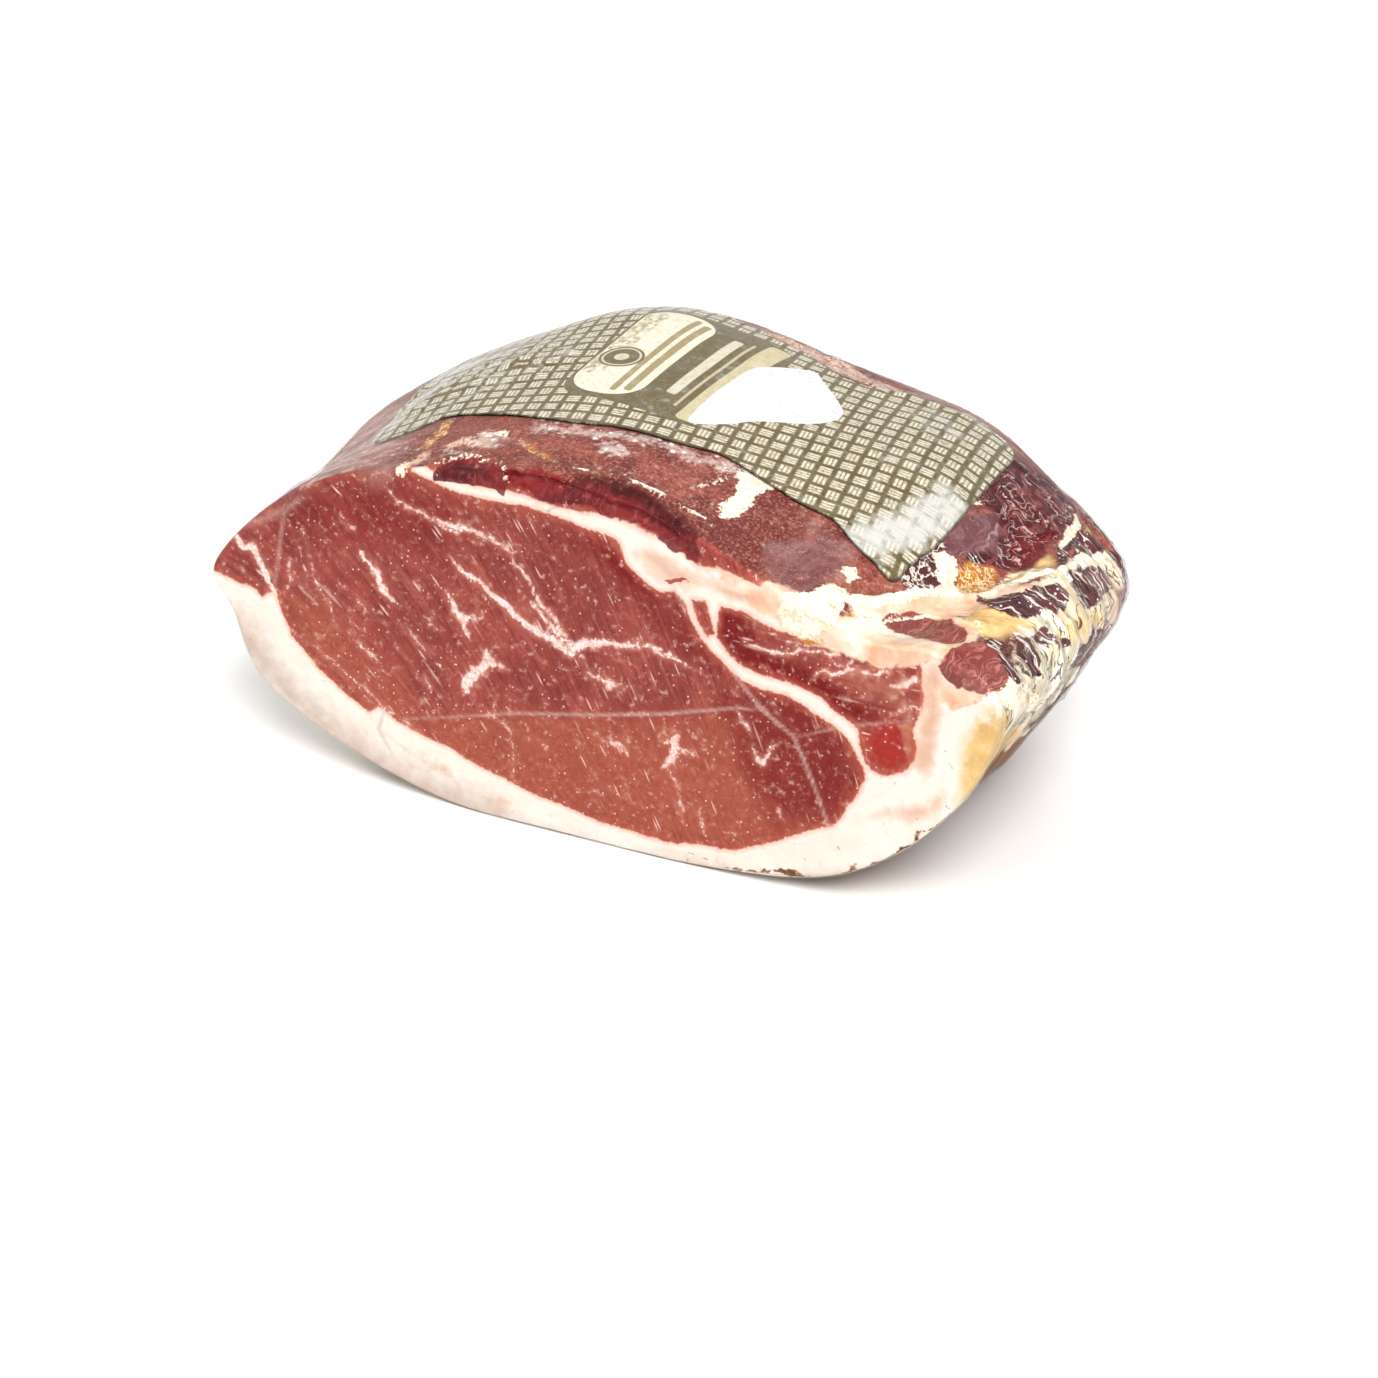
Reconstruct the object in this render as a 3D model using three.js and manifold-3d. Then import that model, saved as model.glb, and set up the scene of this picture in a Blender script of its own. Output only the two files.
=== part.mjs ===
// Half of a boned dry-cured ham, cut across, with the printed panel of its clear vacuum bag.
// Millimetres, +Z up. The cut face is the front and looks along -Y; +X runs to its right.
// The ham lies on its fat side. The origin is on the surface it rests on, under the middle of its box.

import * as THREE from 'three';
import { mergeVertices } from 'three/addons/utils/BufferGeometryUtils.js';
import Module from 'manifold-3d';

const wasm = await Module();
wasm.setup();

// Driving sizes of the ham
const HAM_DEPTH = 182; // from the cut face to the round end behind
const CLOSING_START = 94; // depth at which the sections start to close towards the end
const CLOSING_POWER = 2.1; // 2 is an ellipse, more is blunter
const CLOSING_HEIGHT = 58; // height at which the round end closes
const CLOSING_ACROSS = 116; // and its place across
const END_FAT = 8; // fat over the round end
const PIECE_GAP = 0.3; // clear gap kept between pieces that touch
const CUT_MARGIN = 3; // how far a cutting solid reaches past the cut face
const BARE = -6; // a fat thickness below zero leaves the meat bare

// How finely the surfaces are divided
const RING_STEPS = 28; // rings from the cut face to the round end
const STEPS_PER_RAIL = 5; // points between two rails
const INNER_RING_STEPS = 15;
const INNER_STEPS_PER_RAIL = 4;

// The ham's form: rails that run from the cut face backwards, in order round the section.
// Each rail gives [across, height] at the four stations, and how thick the fat under it is there.
const STATIONS = [0, 35, 70, 105];
const RAILS = {
  rimLeft: { at: [[0, 66], [-0.5, 63], [-2, 62], [-3, 60.5]], fat: [1, 2, 3, 3] },
  shoulderLeft: { at: [[32, 96], [23, 90.5], [13.5, 90], [12, 89]], fat: [BARE, BARE, BARE, BARE] },
  crownLeft: { at: [[74, 111], [64, 114], [56, 115], [53.5, 113]], fat: [BARE, BARE, BARE, BARE] },
  crown: { at: [[118, 117], [114.5, 122.5], [109, 126], [99, 128.5]], fat: [BARE, BARE, BARE, BARE] },
  crownRight: { at: [[163, 110], [163.5, 115], [162, 118], [159, 117.5]], fat: [BARE, BARE, BARE, BARE] },
  brow: { at: [[202, 94], [211, 102.5], [213, 107], [209.5, 107]], fat: [BARE, BARE, BARE, BARE] },
  groove: { at: [[225, 87], [233, 86.5], [239, 86.5], [241, 86]], fat: [BARE, BARE, BARE, BARE] },
  shoulderRight: { at: [[246, 88], [252, 87.5], [254, 85], [250, 78]], fat: [BARE, BARE, BARE, BARE] },
  rimRight: { at: [[266, 77], [267.5, 73.5], [264.5, 70.5], [261, 64]], fat: [9, -2, -3, -3] },
  haunchRight: { at: [[257, 46], [256, 45], [256, 40], [251, 37]], fat: [16, 4, -2, -2] },
  heelRight: { at: [[233, 19], [230.5, 17], [230, 14], [228, 13]], fat: [18, 14, 11, 11] },
  baseRight: { at: [[200, 4], [197, 2], [193, 2], [190, 1.5]], fat: [11, 11, 11, 11] },
  base: { at: [[136, -1], [134.5, -2], [132, -2], [130, -1]], fat: [11, 11, 11, 11] },
  baseLeft: { at: [[75, 2], [70, 0], [67.5, 0], [64.5, 1]], fat: [18, 16, 14, 14] },
  haunchLeft: { at: [[20, 24], [17.5, 21.5], [17.5, 20], [19, 20.5]], fat: [20, 18, 16, 16] },
  flankLeft: { at: [[5, 50], [2, 45.5], [0.5, 44], [2, 44.5]], fat: [12, 12, 12, 12] },
};

// Folds across the shank end, where the ham was pressed in its mould
const FOLD_PITCH = 14; // along the depth
const FOLD_HEIGHT = 1.3; // from the mean surface to a crest
const FOLD_START = 14; // depth at which they begin
const FOLD_RAILS = ['groove', 'baseRight']; // they fade out towards these rails

// Outlines of the muscles in the cut face, [across, height]; all run through to the round end
const MUSCLES = {
  lean_main: [
    [-40, 70], [-40, -30], [110, -40], [212, -30], [213, 10], [216, 24], [226, 38], [226, 47],
    [214, 59], [199, 65], [184, 69], [173, 80], [162, 89], [149, 97], [139, 102], [122, 105],
    [102, 105.5], [87, 106.5], [75, 110], [62, 150], [-30, 150],
  ],
  lean_side: [
    [176, 80], [176, 86], [181, 88.5], [190, 85.5], [207, 84.5], [223, 85.5], [240, 86.5], [245, 83],
    [246, 74], [244, 63], [239, 50], [233, 46], [225, 53], [221, 60], [205, 67], [186, 72],
  ],
  lean_top: [
    [80, 115], [92, 110.5], [109, 110.5], [124, 110], [145, 107], [157, 104.5], [177, 98], [190, 95.5],
    [208, 92.5], [230, 91.5], [248, 94], [268, 102], [262, 160], [120, 180], [67, 160],
  ],
  lean_shank: [
    [243, 34], [243, 44], [247, 56], [250.5, 67], [250, 77], [247.5, 86], [252, 90.5], [270, 91],
    [300, 92], [310, 60], [300, 20], [262, 14], [247, 24],
  ],
};
const OUTLINE_STEPS = 4; // points between two outline points

// The printed panel of the bag, seen from above: [across, depth], and its thickness with the fold of film
const PANEL_OUTLINE = [
  [26, 52], [40, 41], [57, 32], [90, 30], [122, 28.5], [154, 30.5], [186, 27], [210, 24], [222, 20],
  [224, 34], [224, 62], [222, 90], [218, 118], [203, 126], [177, 118], [163, 113], [146, 121],
  [127, 125], [96, 131], [64, 128], [40, 112], [28, 84],
];
const PANEL_THICKNESS = 0.9;
const PANEL_LOWEST = 78; // the panel stays on the upper side

const railNames = Object.keys(RAILS);
const rails = Object.values(RAILS);

// Uniform Catmull-Rom blend of four numbers, at t from 0 to 1 between b and c
function blend(a, b, c, d, t) {
  return 0.5 * (2 * b + (c - a) * t + (2 * a - 5 * b + 4 * c - d) * t * t + (3 * b - a - 3 * c + d) * t ** 3);
}

// A value of each station, read at a depth; beyond the ends the first or last one holds
function along(values, depth) {
  const last = STATIONS.length - 1;
  const spacing = STATIONS[1] - STATIONS[0];
  const place = THREE.MathUtils.clamp(depth / spacing, 0, last);
  const i = Math.min(Math.floor(place), last - 1);
  const before = i > 0 ? values[i - 1] : 2 * values[0] - values[1];
  const after = i + 2 <= last ? values[i + 2] : 2 * values[last] - values[last - 1];
  return blend(before, values[i], values[i + 1], after, place - i);
}

// How much of its full size a section has at a depth
function closing(depth) {
  const share = THREE.MathUtils.clamp((depth - CLOSING_START) / (HAM_DEPTH - CLOSING_START), 0, 1);
  return (1 - share ** CLOSING_POWER) ** (1 / CLOSING_POWER);
}

// The folds' height at a place round the section (in rails) and a depth
function foldAt(place, depth) {
  const [from, to] = FOLD_RAILS.map((name) => railNames.indexOf(name));
  const round = Math.sin(Math.PI * THREE.MathUtils.clamp((place - from) / (to - from), 0, 1));
  const deep = THREE.MathUtils.smoothstep(depth, FOLD_START, FOLD_START + FOLD_PITCH);
  const wave = Math.cos((2 * Math.PI * depth) / FOLD_PITCH);
  return FOLD_HEIGHT * round * deep * closing(depth) * wave;
}

// One section as points round it, moved out along the section's own normal by outset(place, depth)
function section(depth, stepsPerRail, outset) {
  const size = closing(depth);
  const knots = rails.map((rail) => [0, 1].map((axis) => along(rail.at.map((p) => p[axis]), depth)));
  const count = knots.length;
  const points = [];
  for (let k = 0; k < count * stepsPerRail; k++) {
    const i = Math.floor(k / stepsPerRail);
    const t = (k % stepsPerRail) / stepsPerRail;
    const around = [-1, 0, 1, 2].map((n) => knots[(i + n + count) % count]);
    const [x, z] = [0, 1].map((axis) => blend(...around.map((p) => p[axis]), t));
    points.push(new THREE.Vector2(
      CLOSING_ACROSS + (x - CLOSING_ACROSS) * size,
      CLOSING_HEIGHT + (z - CLOSING_HEIGHT) * size,
    ));
  }
  return points.map((point, k) => {
    const ahead = points[(k + 1) % points.length];
    const behind = points[(k - 1 + points.length) % points.length];
    const tangent = ahead.clone().sub(behind).normalize();
    const normal = new THREE.Vector2(-tangent.y, tangent.x); // the rails run clockwise, so this points out
    const moved = point.clone().addScaledVector(normal, outset(k / stepsPerRail, depth));
    return moved;
  });
}

// Rings and two end points as one closed solid
function loft(rings) {
  const positions = [];
  const indices = [];
  const size = rings[0].points.length;
  for (const { depth, points, lowest } of rings) {
    for (const p of points) positions.push(p.x, depth, Math.max(p.y, lowest));
  }
  const [first, last] = [rings[0], rings[rings.length - 1]];
  for (const { depth } of [first, last]) positions.push(CLOSING_ACROSS, depth, CLOSING_HEIGHT);
  const [frontPole, backPole] = [positions.length / 3 - 2, positions.length / 3 - 1];
  for (let k = 0; k < size; k++) {
    const next = (k + 1) % size;
    indices.push(frontPole, next, k);
    for (let r = 0; r + 1 < rings.length; r++) {
      const [a, b] = [r * size + k, r * size + next];
      indices.push(a, b, a + size, b, b + size, a + size);
    }
    const base = (rings.length - 1) * size;
    indices.push(backPole, base + k, base + next);
  }
  return solidOf(positions, indices);
}

function solidOf(positions, indices) {
  return new wasm.Manifold(new wasm.Mesh({
    numProp: 3,
    vertProperties: new Float32Array(positions),
    triVerts: new Uint32Array(indices),
  }));
}

// The whole ham's form, or one offset from it. Depths crowd towards the round end, where it curves most.
function hamForm({ from, to, steps, stepsPerRail, outset, lowest }) {
  const rings = [];
  if (from < 0) rings.push({ depth: from, points: section(0, stepsPerRail, outset), lowest });
  for (let r = 0; r <= steps; r++) {
    const share = r / steps;
    const depth = to * (share < 0.5 ? share * 1.1 : 1 - (1 - share) ** 1.4 * 0.45 / 0.5 ** 1.4);
    const seen = Math.min((depth / to) * HAM_DEPTH, HAM_DEPTH * 0.9995);
    rings.push({ depth, points: section(seen, stepsPerRail, outset), lowest });
  }
  return loft(rings);
}

// Fat thickness at a place round the section, smooth from rail to rail
function fatAt(place, depth) {
  const count = rails.length;
  const i = Math.floor(place) % count;
  const at = (n) => along(rails[(n + count) % count].fat, Math.min(depth, STATIONS[STATIONS.length - 1]));
  return THREE.MathUtils.lerp(at(i), at(i + 1), THREE.MathUtils.smoothstep(place - Math.floor(place), 0, 1));
}

// What the fat encloses. More gap makes it smaller.
function leanEnvelope(gap) {
  return hamForm({
    from: -CUT_MARGIN,
    to: HAM_DEPTH - END_FAT - gap,
    steps: INNER_RING_STEPS,
    stepsPerRail: INNER_STEPS_PER_RAIL,
    outset: (place, depth) => -(fatAt(place, depth) + gap) * closing(depth),
    lowest: -Infinity,
  });
}

// A closed outline in the cut face, run through the whole ham. Growing moves it out along its normals.
function muscleBlock(outline, grow) {
  const count = outline.length;
  const points = [];
  for (let k = 0; k < count * OUTLINE_STEPS; k++) {
    const i = Math.floor(k / OUTLINE_STEPS);
    const around = [-1, 0, 1, 2].map((n) => outline[(i + n + count) % count]);
    const t = (k % OUTLINE_STEPS) / OUTLINE_STEPS;
    points.push(new THREE.Vector2(...[0, 1].map((axis) => blend(...around.map((p) => p[axis]), t))));
  }
  const outward = THREE.ShapeUtils.isClockWise(points) ? 1 : -1;
  const grown = points.map((point, k) => {
    const ahead = points[(k + 1) % points.length];
    const behind = points[(k - 1 + points.length) % points.length];
    const tangent = ahead.clone().sub(behind).normalize();
    return point.clone().addScaledVector(new THREE.Vector2(-tangent.y, tangent.x), outward * grow);
  });
  const depth = HAM_DEPTH + 2 * CUT_MARGIN;
  const geometry = new THREE.ExtrudeGeometry(new THREE.Shape(grown), { depth, bevelEnabled: false, steps: 1 });
  geometry.rotateX(Math.PI / 2);
  geometry.translate(0, depth - CUT_MARGIN, 0);
  return manifoldOf(geometry);
}

function manifoldOf(geometry) {
  geometry.deleteAttribute('normal');
  geometry.deleteAttribute('uv');
  const merged = mergeVertices(geometry, 1e-4);
  return solidOf(merged.attributes.position.array, merged.index.array);
}

// The largest connected body of a solid; loose scraps from cutting are dropped
function largestBody(solid) {
  const bodies = solid.decompose();
  return bodies.reduce((best, body) => (body.volume() > best.volume() ? body : best));
}

function geometryOf(solid) {
  const { vertProperties, triVerts, numProp } = solid.getMesh();
  const geometry = new THREE.BufferGeometry();
  const positions = new Float32Array((vertProperties.length / numProp) * 3);
  for (let i = 0; i < positions.length / 3; i++) {
    for (let axis = 0; axis < 3; axis++) positions[3 * i + axis] = vertProperties[numProp * i + axis];
  }
  geometry.setAttribute('position', new THREE.BufferAttribute(positions, 3));
  geometry.setIndex(new THREE.BufferAttribute(new Uint32Array(triVerts), 1));
  geometry.computeVertexNormals();
  return geometry;
}

// The printed panel: a skin that follows the ham's top, trimmed to its outline
function printedPanel() {
  const skin = (height) => hamForm({
    from: -CUT_MARGIN,
    to: HAM_DEPTH + height,
    steps: RING_STEPS,
    stepsPerRail: STEPS_PER_RAIL,
    outset: (place, depth) => height + foldAt(place, depth),
    lowest: -Infinity,
  });
  const curve = new THREE.CatmullRomCurve3(
    PANEL_OUTLINE.map(([x, y]) => new THREE.Vector3(x, y, 0)), true, 'centripetal',
  );
  const shape = new THREE.Shape(curve.getPoints(PANEL_OUTLINE.length * 3).slice(0, -1));
  const prism = new THREE.ExtrudeGeometry(shape, { depth: 100, bevelEnabled: false, steps: 1 });
  prism.translate(0, 0, PANEL_LOWEST);
  return skin(PIECE_GAP + PANEL_THICKNESS).subtract(skin(PIECE_GAP)).intersect(manifoldOf(prism));
}

const whole = hamForm({
  from: 0,
  to: HAM_DEPTH,
  steps: RING_STEPS,
  stepsPerRail: STEPS_PER_RAIL,
  outset: foldAt,
  lowest: 0,
});

const leanRoom = whole.intersect(leanEnvelope(PIECE_GAP));
const solids = { fat_cap: whole.subtract(leanEnvelope(0)) };
let seam = leanRoom;
for (const [name, outline] of Object.entries(MUSCLES)) {
  solids[name] = leanRoom.intersect(muscleBlock(outline, 0));
  seam = seam.subtract(muscleBlock(outline, PIECE_GAP));
}
solids.fat_seam = seam;
solids.bag_print = printedPanel();

const FINISHES = {
  fat_cap: { color: '#efe3d2', roughness: 0.45 },
  fat_seam: { color: '#f0d9c6', roughness: 0.4 },
  lean_main: { color: '#a14d47', roughness: 0.35 },
  lean_side: { color: '#a8363a', roughness: 0.3 },
  lean_top: { color: '#7d3f3d', roughness: 0.45 },
  lean_shank: { color: '#6b3a38', roughness: 0.5 },
  bag_print: { color: '#a39c7c', roughness: 0.25 },
};

const ham = new THREE.Group();
for (const [name, solid] of Object.entries(solids)) {
  const material = new THREE.MeshStandardMaterial({ ...FINISHES[name], metalness: 0 });
  const mesh = new THREE.Mesh(geometryOf(largestBody(solid)), material);
  mesh.name = name;
  ham.add(mesh);
}

// The origin goes under the middle of the box, on the surface the ham rests on
const box = new THREE.Box3().setFromObject(ham);
const middle = box.getCenter(new THREE.Vector3());
ham.position.set(-middle.x, -middle.y, -box.min.z);

export default ham;
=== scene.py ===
"""Half of a boned dry-cured ham in its shrunk clear bag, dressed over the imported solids.

Lengths inside the classes are millimetres in the carver's frame: x runs across the cut face from its
left tip, y runs into the ham from the cut face, and z is the height above the table. What lies on the
outside is placed by girth, the way round from the left tip over the crown, and by depth behind the cut
plane; a negative depth reaches over the rim onto the cut face.
"""
import itertools
import logging
import math
from dataclasses import dataclass, field, replace
from enum import Enum
from functools import partial

import bpy
import numpy as np
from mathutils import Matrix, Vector
from mathutils.kdtree import KDTree


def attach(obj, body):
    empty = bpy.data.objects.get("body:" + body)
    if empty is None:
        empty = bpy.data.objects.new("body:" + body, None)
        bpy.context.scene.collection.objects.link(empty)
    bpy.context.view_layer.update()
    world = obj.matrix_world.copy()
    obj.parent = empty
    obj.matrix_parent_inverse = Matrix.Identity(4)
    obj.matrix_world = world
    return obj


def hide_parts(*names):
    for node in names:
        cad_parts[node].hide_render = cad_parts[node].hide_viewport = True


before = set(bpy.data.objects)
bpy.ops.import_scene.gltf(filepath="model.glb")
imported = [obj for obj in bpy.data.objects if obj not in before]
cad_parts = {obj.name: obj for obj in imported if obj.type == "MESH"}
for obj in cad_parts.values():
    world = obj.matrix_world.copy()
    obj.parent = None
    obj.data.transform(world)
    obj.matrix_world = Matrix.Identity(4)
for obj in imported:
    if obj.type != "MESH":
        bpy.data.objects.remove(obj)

LOG = logging.getLogger("ham")
MILLIMETRE = 0.001
MIDDLE_ACROSS = 132.7  # middle of the ham's box across, in the carver's frame
MIDDLE_DEEP = 91.0  # and along its depth
BARE = -6.0  # a fat thickness below zero leaves the meat bare
CELL_PRIMES = np.array([73856093, 19349663, 83492791])  # spread the noise's cells over the numbers
SEED_STEP = 40503  # sets two seeds' patterns apart
SCATTER = 1274126177  # scatters the mixed bits
SHARP_BEND = 48.0  # degrees; where faces meet at more, the edge stays sharp
PRINT_EDGE = 0.15  # half width of the soft edge of printed ink, in mm
TINY = 1e-9  # keeps a division from failing on a stretch without length

Array = np.ndarray
Solid = bpy.types.Object
Finish = bpy.types.Material
Path = tuple[tuple[float, ...], ...]
Socket = bpy.types.NodeSocket
Sockets = dict[int | str, Socket | float | tuple[float, ...]]


class Node(Enum):
    """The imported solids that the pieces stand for."""

    FAT_CAP = "fat_cap"
    FAT_SEAM = "fat_seam"
    LEAN_MAIN = "lean_main"
    LEAN_SIDE = "lean_side"
    LEAN_TOP = "lean_top"
    LEAN_SHANK = "lean_shank"
    BAG_PRINT = "bag_print"


class Cut(Enum):
    """What a cutting solid does to the piece."""

    KEEP_INSIDE = "INTERSECT"
    TAKE_AWAY = "DIFFERENCE"


def linear_colour(hex_code: str) -> tuple[float, float, float, float]:
    """Turns an sRGB hex code into linear red, green, blue and alpha.

    Args:
        hex_code: six hex digits with a leading hash.

    Returns:
        Four linear values, with an alpha of one.
    """
    channels = [int(hex_code[i : i + 2], 16) / 255 for i in (1, 3, 5)]
    bent = [c / 12.92 if c <= 0.04045 else ((c + 0.055) / 1.055) ** 2.4 for c in channels]
    return (bent[0], bent[1], bent[2], 1.0)


def smooth_step(value: Array, low: float, high: float) -> Array:
    """Runs smoothly from 0 at low to 1 at high; high may be below low."""
    share = np.clip((value - low) / (high - low), 0.0, 1.0)
    return share * share * (3.0 - 2.0 * share)


def lattice_noise(points: Array, pitch: float, seed: int) -> Array:
    """Gives smooth random values between -1 and 1 that change over about one pitch.

    Args:
        points: places, one row of three each, in mm.
        pitch: distance between the random values, in mm.
        seed: number that picks the pattern.

    Returns:
        One value for each point.
    """
    cell = points / pitch
    low = np.floor(cell).astype(np.int64)
    part = cell - low
    part = part * part * (3.0 - 2.0 * part)
    total = np.zeros(len(points))
    for corner in itertools.product((0, 1), repeat=3):
        mixed = (low + np.array(corner)) @ CELL_PRIMES + seed * SEED_STEP
        mixed = (mixed ^ (mixed >> 13)) * SCATTER
        mixed = (mixed ^ (mixed >> 16)) & 0xFFFFFF
        weight = np.prod(np.where(np.array(corner) == 1, part, 1.0 - part), axis=1)
        total += weight * (mixed / 0x7FFFFF - 1.0)
    return total


def ridges(points: Array, pitch: float, seed: int, power: int) -> Array:
    """Gives ridges between 0 and 1 where smooth noise crosses zero; a higher power makes them narrower."""
    return (1 - np.abs(lattice_noise(points, pitch, seed))) ** power


@dataclass(frozen=True)
class Bumps:
    """Smooth random bumps: their pitch and height in mm, and the seed that picks the pattern."""

    pitch: float
    height: float
    seed: int

    def at(self, points: Array) -> Array:
        """Gives the bumps' height at each point."""
        return self.height * lattice_noise(points, self.pitch, self.seed)


def stray(points: Array, bumps: tuple[Bumps, ...]) -> Array:
    """Says how far points stray two ways, in mm, by bumps with each seed and with the next one."""
    ways = [sum(replace(bump, seed=bump.seed + i).at(points) for bump in bumps) for i in (0, 1)]
    return np.stack(ways, 1)


def nearest_on_line(points: Array, corners: Array) -> tuple[Array, Array]:
    """Measures how far points lie from a line of straight stretches.

    Args:
        points: places, one row each.
        corners: the line's corners in order.

    Returns:
        The distance of each point, and its place along the line from 0 to 1.
    """
    best = np.full(len(points), np.inf)
    share = np.zeros(len(points))
    for i in range(len(corners) - 1):
        run = corners[i + 1] - corners[i]
        reach = max(float(run @ run), TINY)
        t = np.clip(((points - corners[i]) @ run) / reach, 0.0, 1.0)
        gap = points - corners[i] - t[:, None] * run
        gap = np.einsum("ij,ij->i", gap, gap)
        nearer = gap < best
        best = np.where(nearer, gap, best)
        share = np.where(nearer, (i + t) / (len(corners) - 1), share)
    return np.sqrt(best), share


def signed_distance(points: Array, outline: Array) -> Array:
    """Measures distance to a closed outline, negative inside.

    Args:
        points: places, one row of two each.
        outline: the outline's points in order.

    Returns:
        The distance of each point in mm.
    """
    closed = np.concatenate([outline, outline[:1]])
    gap, _ = nearest_on_line(points, closed)
    inside = np.zeros(len(points), bool)
    for start, end in zip(closed[:-1], closed[1:]):
        crosses = (start[1] > points[:, 1]) != (end[1] > points[:, 1])
        rise = end[1] - start[1] if end[1] != start[1] else TINY
        level = start[0] + (points[:, 1] - start[1]) * (end[0] - start[0]) / rise
        inside ^= crosses & (points[:, 0] < level)
    return np.where(inside, -gap, gap)


def blend_four(a: Array, b: Array, c: Array, d: Array, t: Array) -> Array:
    """Runs a uniform Catmull-Rom curve from b at t 0 to c at t 1; a comes before b and d after c."""
    square = t * t
    return 0.5 * (
        2 * b + (c - a) * t + (2 * a - 5 * b + 4 * c - d) * square + (3 * b - a - 3 * c + d) * square * t
    )


def rounded(corners: Path, steps: int) -> Array:
    """Rounds a closed outline through its corners.

    Args:
        corners: the outline's corners.
        steps: points from one corner to the next.

    Returns:
        Close points along the outline.
    """
    knots = np.array(corners, float)
    k = np.arange(len(knots) * steps)
    i = k // steps
    t = ((k % steps) / steps)[:, None]
    count = len(knots)
    return blend_four(knots[i - 1], knots[i], knots[(i + 1) % count], knots[(i + 2) % count], t)


@dataclass(frozen=True)
class Line:
    """A soft line on a surface; reach is its half width and soft the width of its faded edge, in mm."""

    path: Path
    reach: float = 0.6
    soft: float = 0.7
    strength: float = 1.0
    tapered: bool = True

    def mask(self, points: Array) -> Array:
        """Says how much of the line lies on each point.

        Args:
            points: places on the surface's map, one row of two each.

        Returns:
            The line's strength at each point.
        """
        gap, share = nearest_on_line(points, np.array(self.path, float))
        reach = self.reach
        if self.tapered:
            reach = reach * np.sqrt(np.sin(np.pi * np.clip(share, 0.03, 0.97)))
        return self.strength * smooth_step(gap - reach, self.soft, -self.soft)


@dataclass(frozen=True)
class Patch:
    """A filled outline on a surface; soft is the width of its faded edge and reach widens it, in mm."""

    path: Path
    soft: float = 1.0
    strength: float = 1.0
    reach: float = 0.0

    def mask(self, points: Array) -> Array:
        """Says how much of the patch lies on each point."""
        gap = signed_distance(points, np.array(self.path, float))
        return self.strength * smooth_step(gap - self.reach, self.soft, -self.soft)


Marks = tuple[Line | Patch, ...]


def painted(marks: Marks, points: Array, added: bool = False) -> Array:
    """Paints marks on a clear field.

    Args:
        marks: what to paint.
        points: places on the surface's map, one row of two each.
        added: True sums the marks, False keeps the strongest.

    Returns:
        The field's value at each point.
    """
    total = np.zeros(len(points))
    for mark in marks:
        corners = np.array(mark.path, float)
        margin = mark.reach + mark.soft + 0.1
        near = np.all((points > corners.min(0) - margin) & (points < corners.max(0) + margin), axis=1)
        if near.any():
            value = mark.mask(points[near])
            total[near] = total[near] + value if added else np.maximum(total[near], value)
    return total


@dataclass(frozen=True)
class Rail:
    """A line of the ham's form that runs backwards from the cut face, and the fat under it."""

    at: Path
    fat: tuple[float, float, float, float] = (BARE,) * 4


# Round the section from the left tip: across and up at each station, and the fat there.
RAILS: dict[str, Rail] = {
    "rim_left": Rail(((0, 66), (-0.5, 63), (-2, 62), (-3, 60.5)), (1, 2, 3, 3)),
    "shoulder_left": Rail(((32, 96), (23, 90.5), (13.5, 90), (12, 89))),
    "crown_left": Rail(((74, 111), (64, 114), (56, 115), (53.5, 113))),
    "crown": Rail(((118, 117), (114.5, 122.5), (109, 126), (99, 128.5))),
    "crown_right": Rail(((163, 110), (163.5, 115), (162, 118), (159, 117.5))),
    "brow": Rail(((202, 94), (211, 102.5), (213, 107), (209.5, 107))),
    "groove": Rail(((225, 87), (233, 86.5), (239, 86.5), (241, 86))),
    "shoulder_right": Rail(((246, 88), (252, 87.5), (254, 85), (250, 78))),
    "rim_right": Rail(((266, 77), (267.5, 73.5), (264.5, 70.5), (261, 64)), (9, -2, -3, -3)),
    "haunch_right": Rail(((257, 46), (256, 45), (256, 40), (251, 37)), (16, 4, -2, -2)),
    "heel_right": Rail(((233, 19), (230.5, 17), (230, 14), (228, 13)), (18, 14, 11, 11)),
    "base_right": Rail(((200, 4), (197, 2), (193, 2), (190, 1.5)), (11, 11, 11, 11)),
    "base": Rail(((136, -1), (134.5, -2), (132, -2), (130, -1)), (11, 11, 11, 11)),
    "base_left": Rail(((75, 2), (70, 0), (67.5, 0), (64.5, 1)), (18, 16, 14, 14)),
    "haunch_left": Rail(((20, 24), (17.5, 21.5), (17.5, 20), (19, 20.5)), (20, 18, 16, 16)),
    "flank_left": Rail(((5, 50), (2, 45.5), (0.5, 44), (2, 44.5)), (12, 12, 12, 12)),
}


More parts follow.
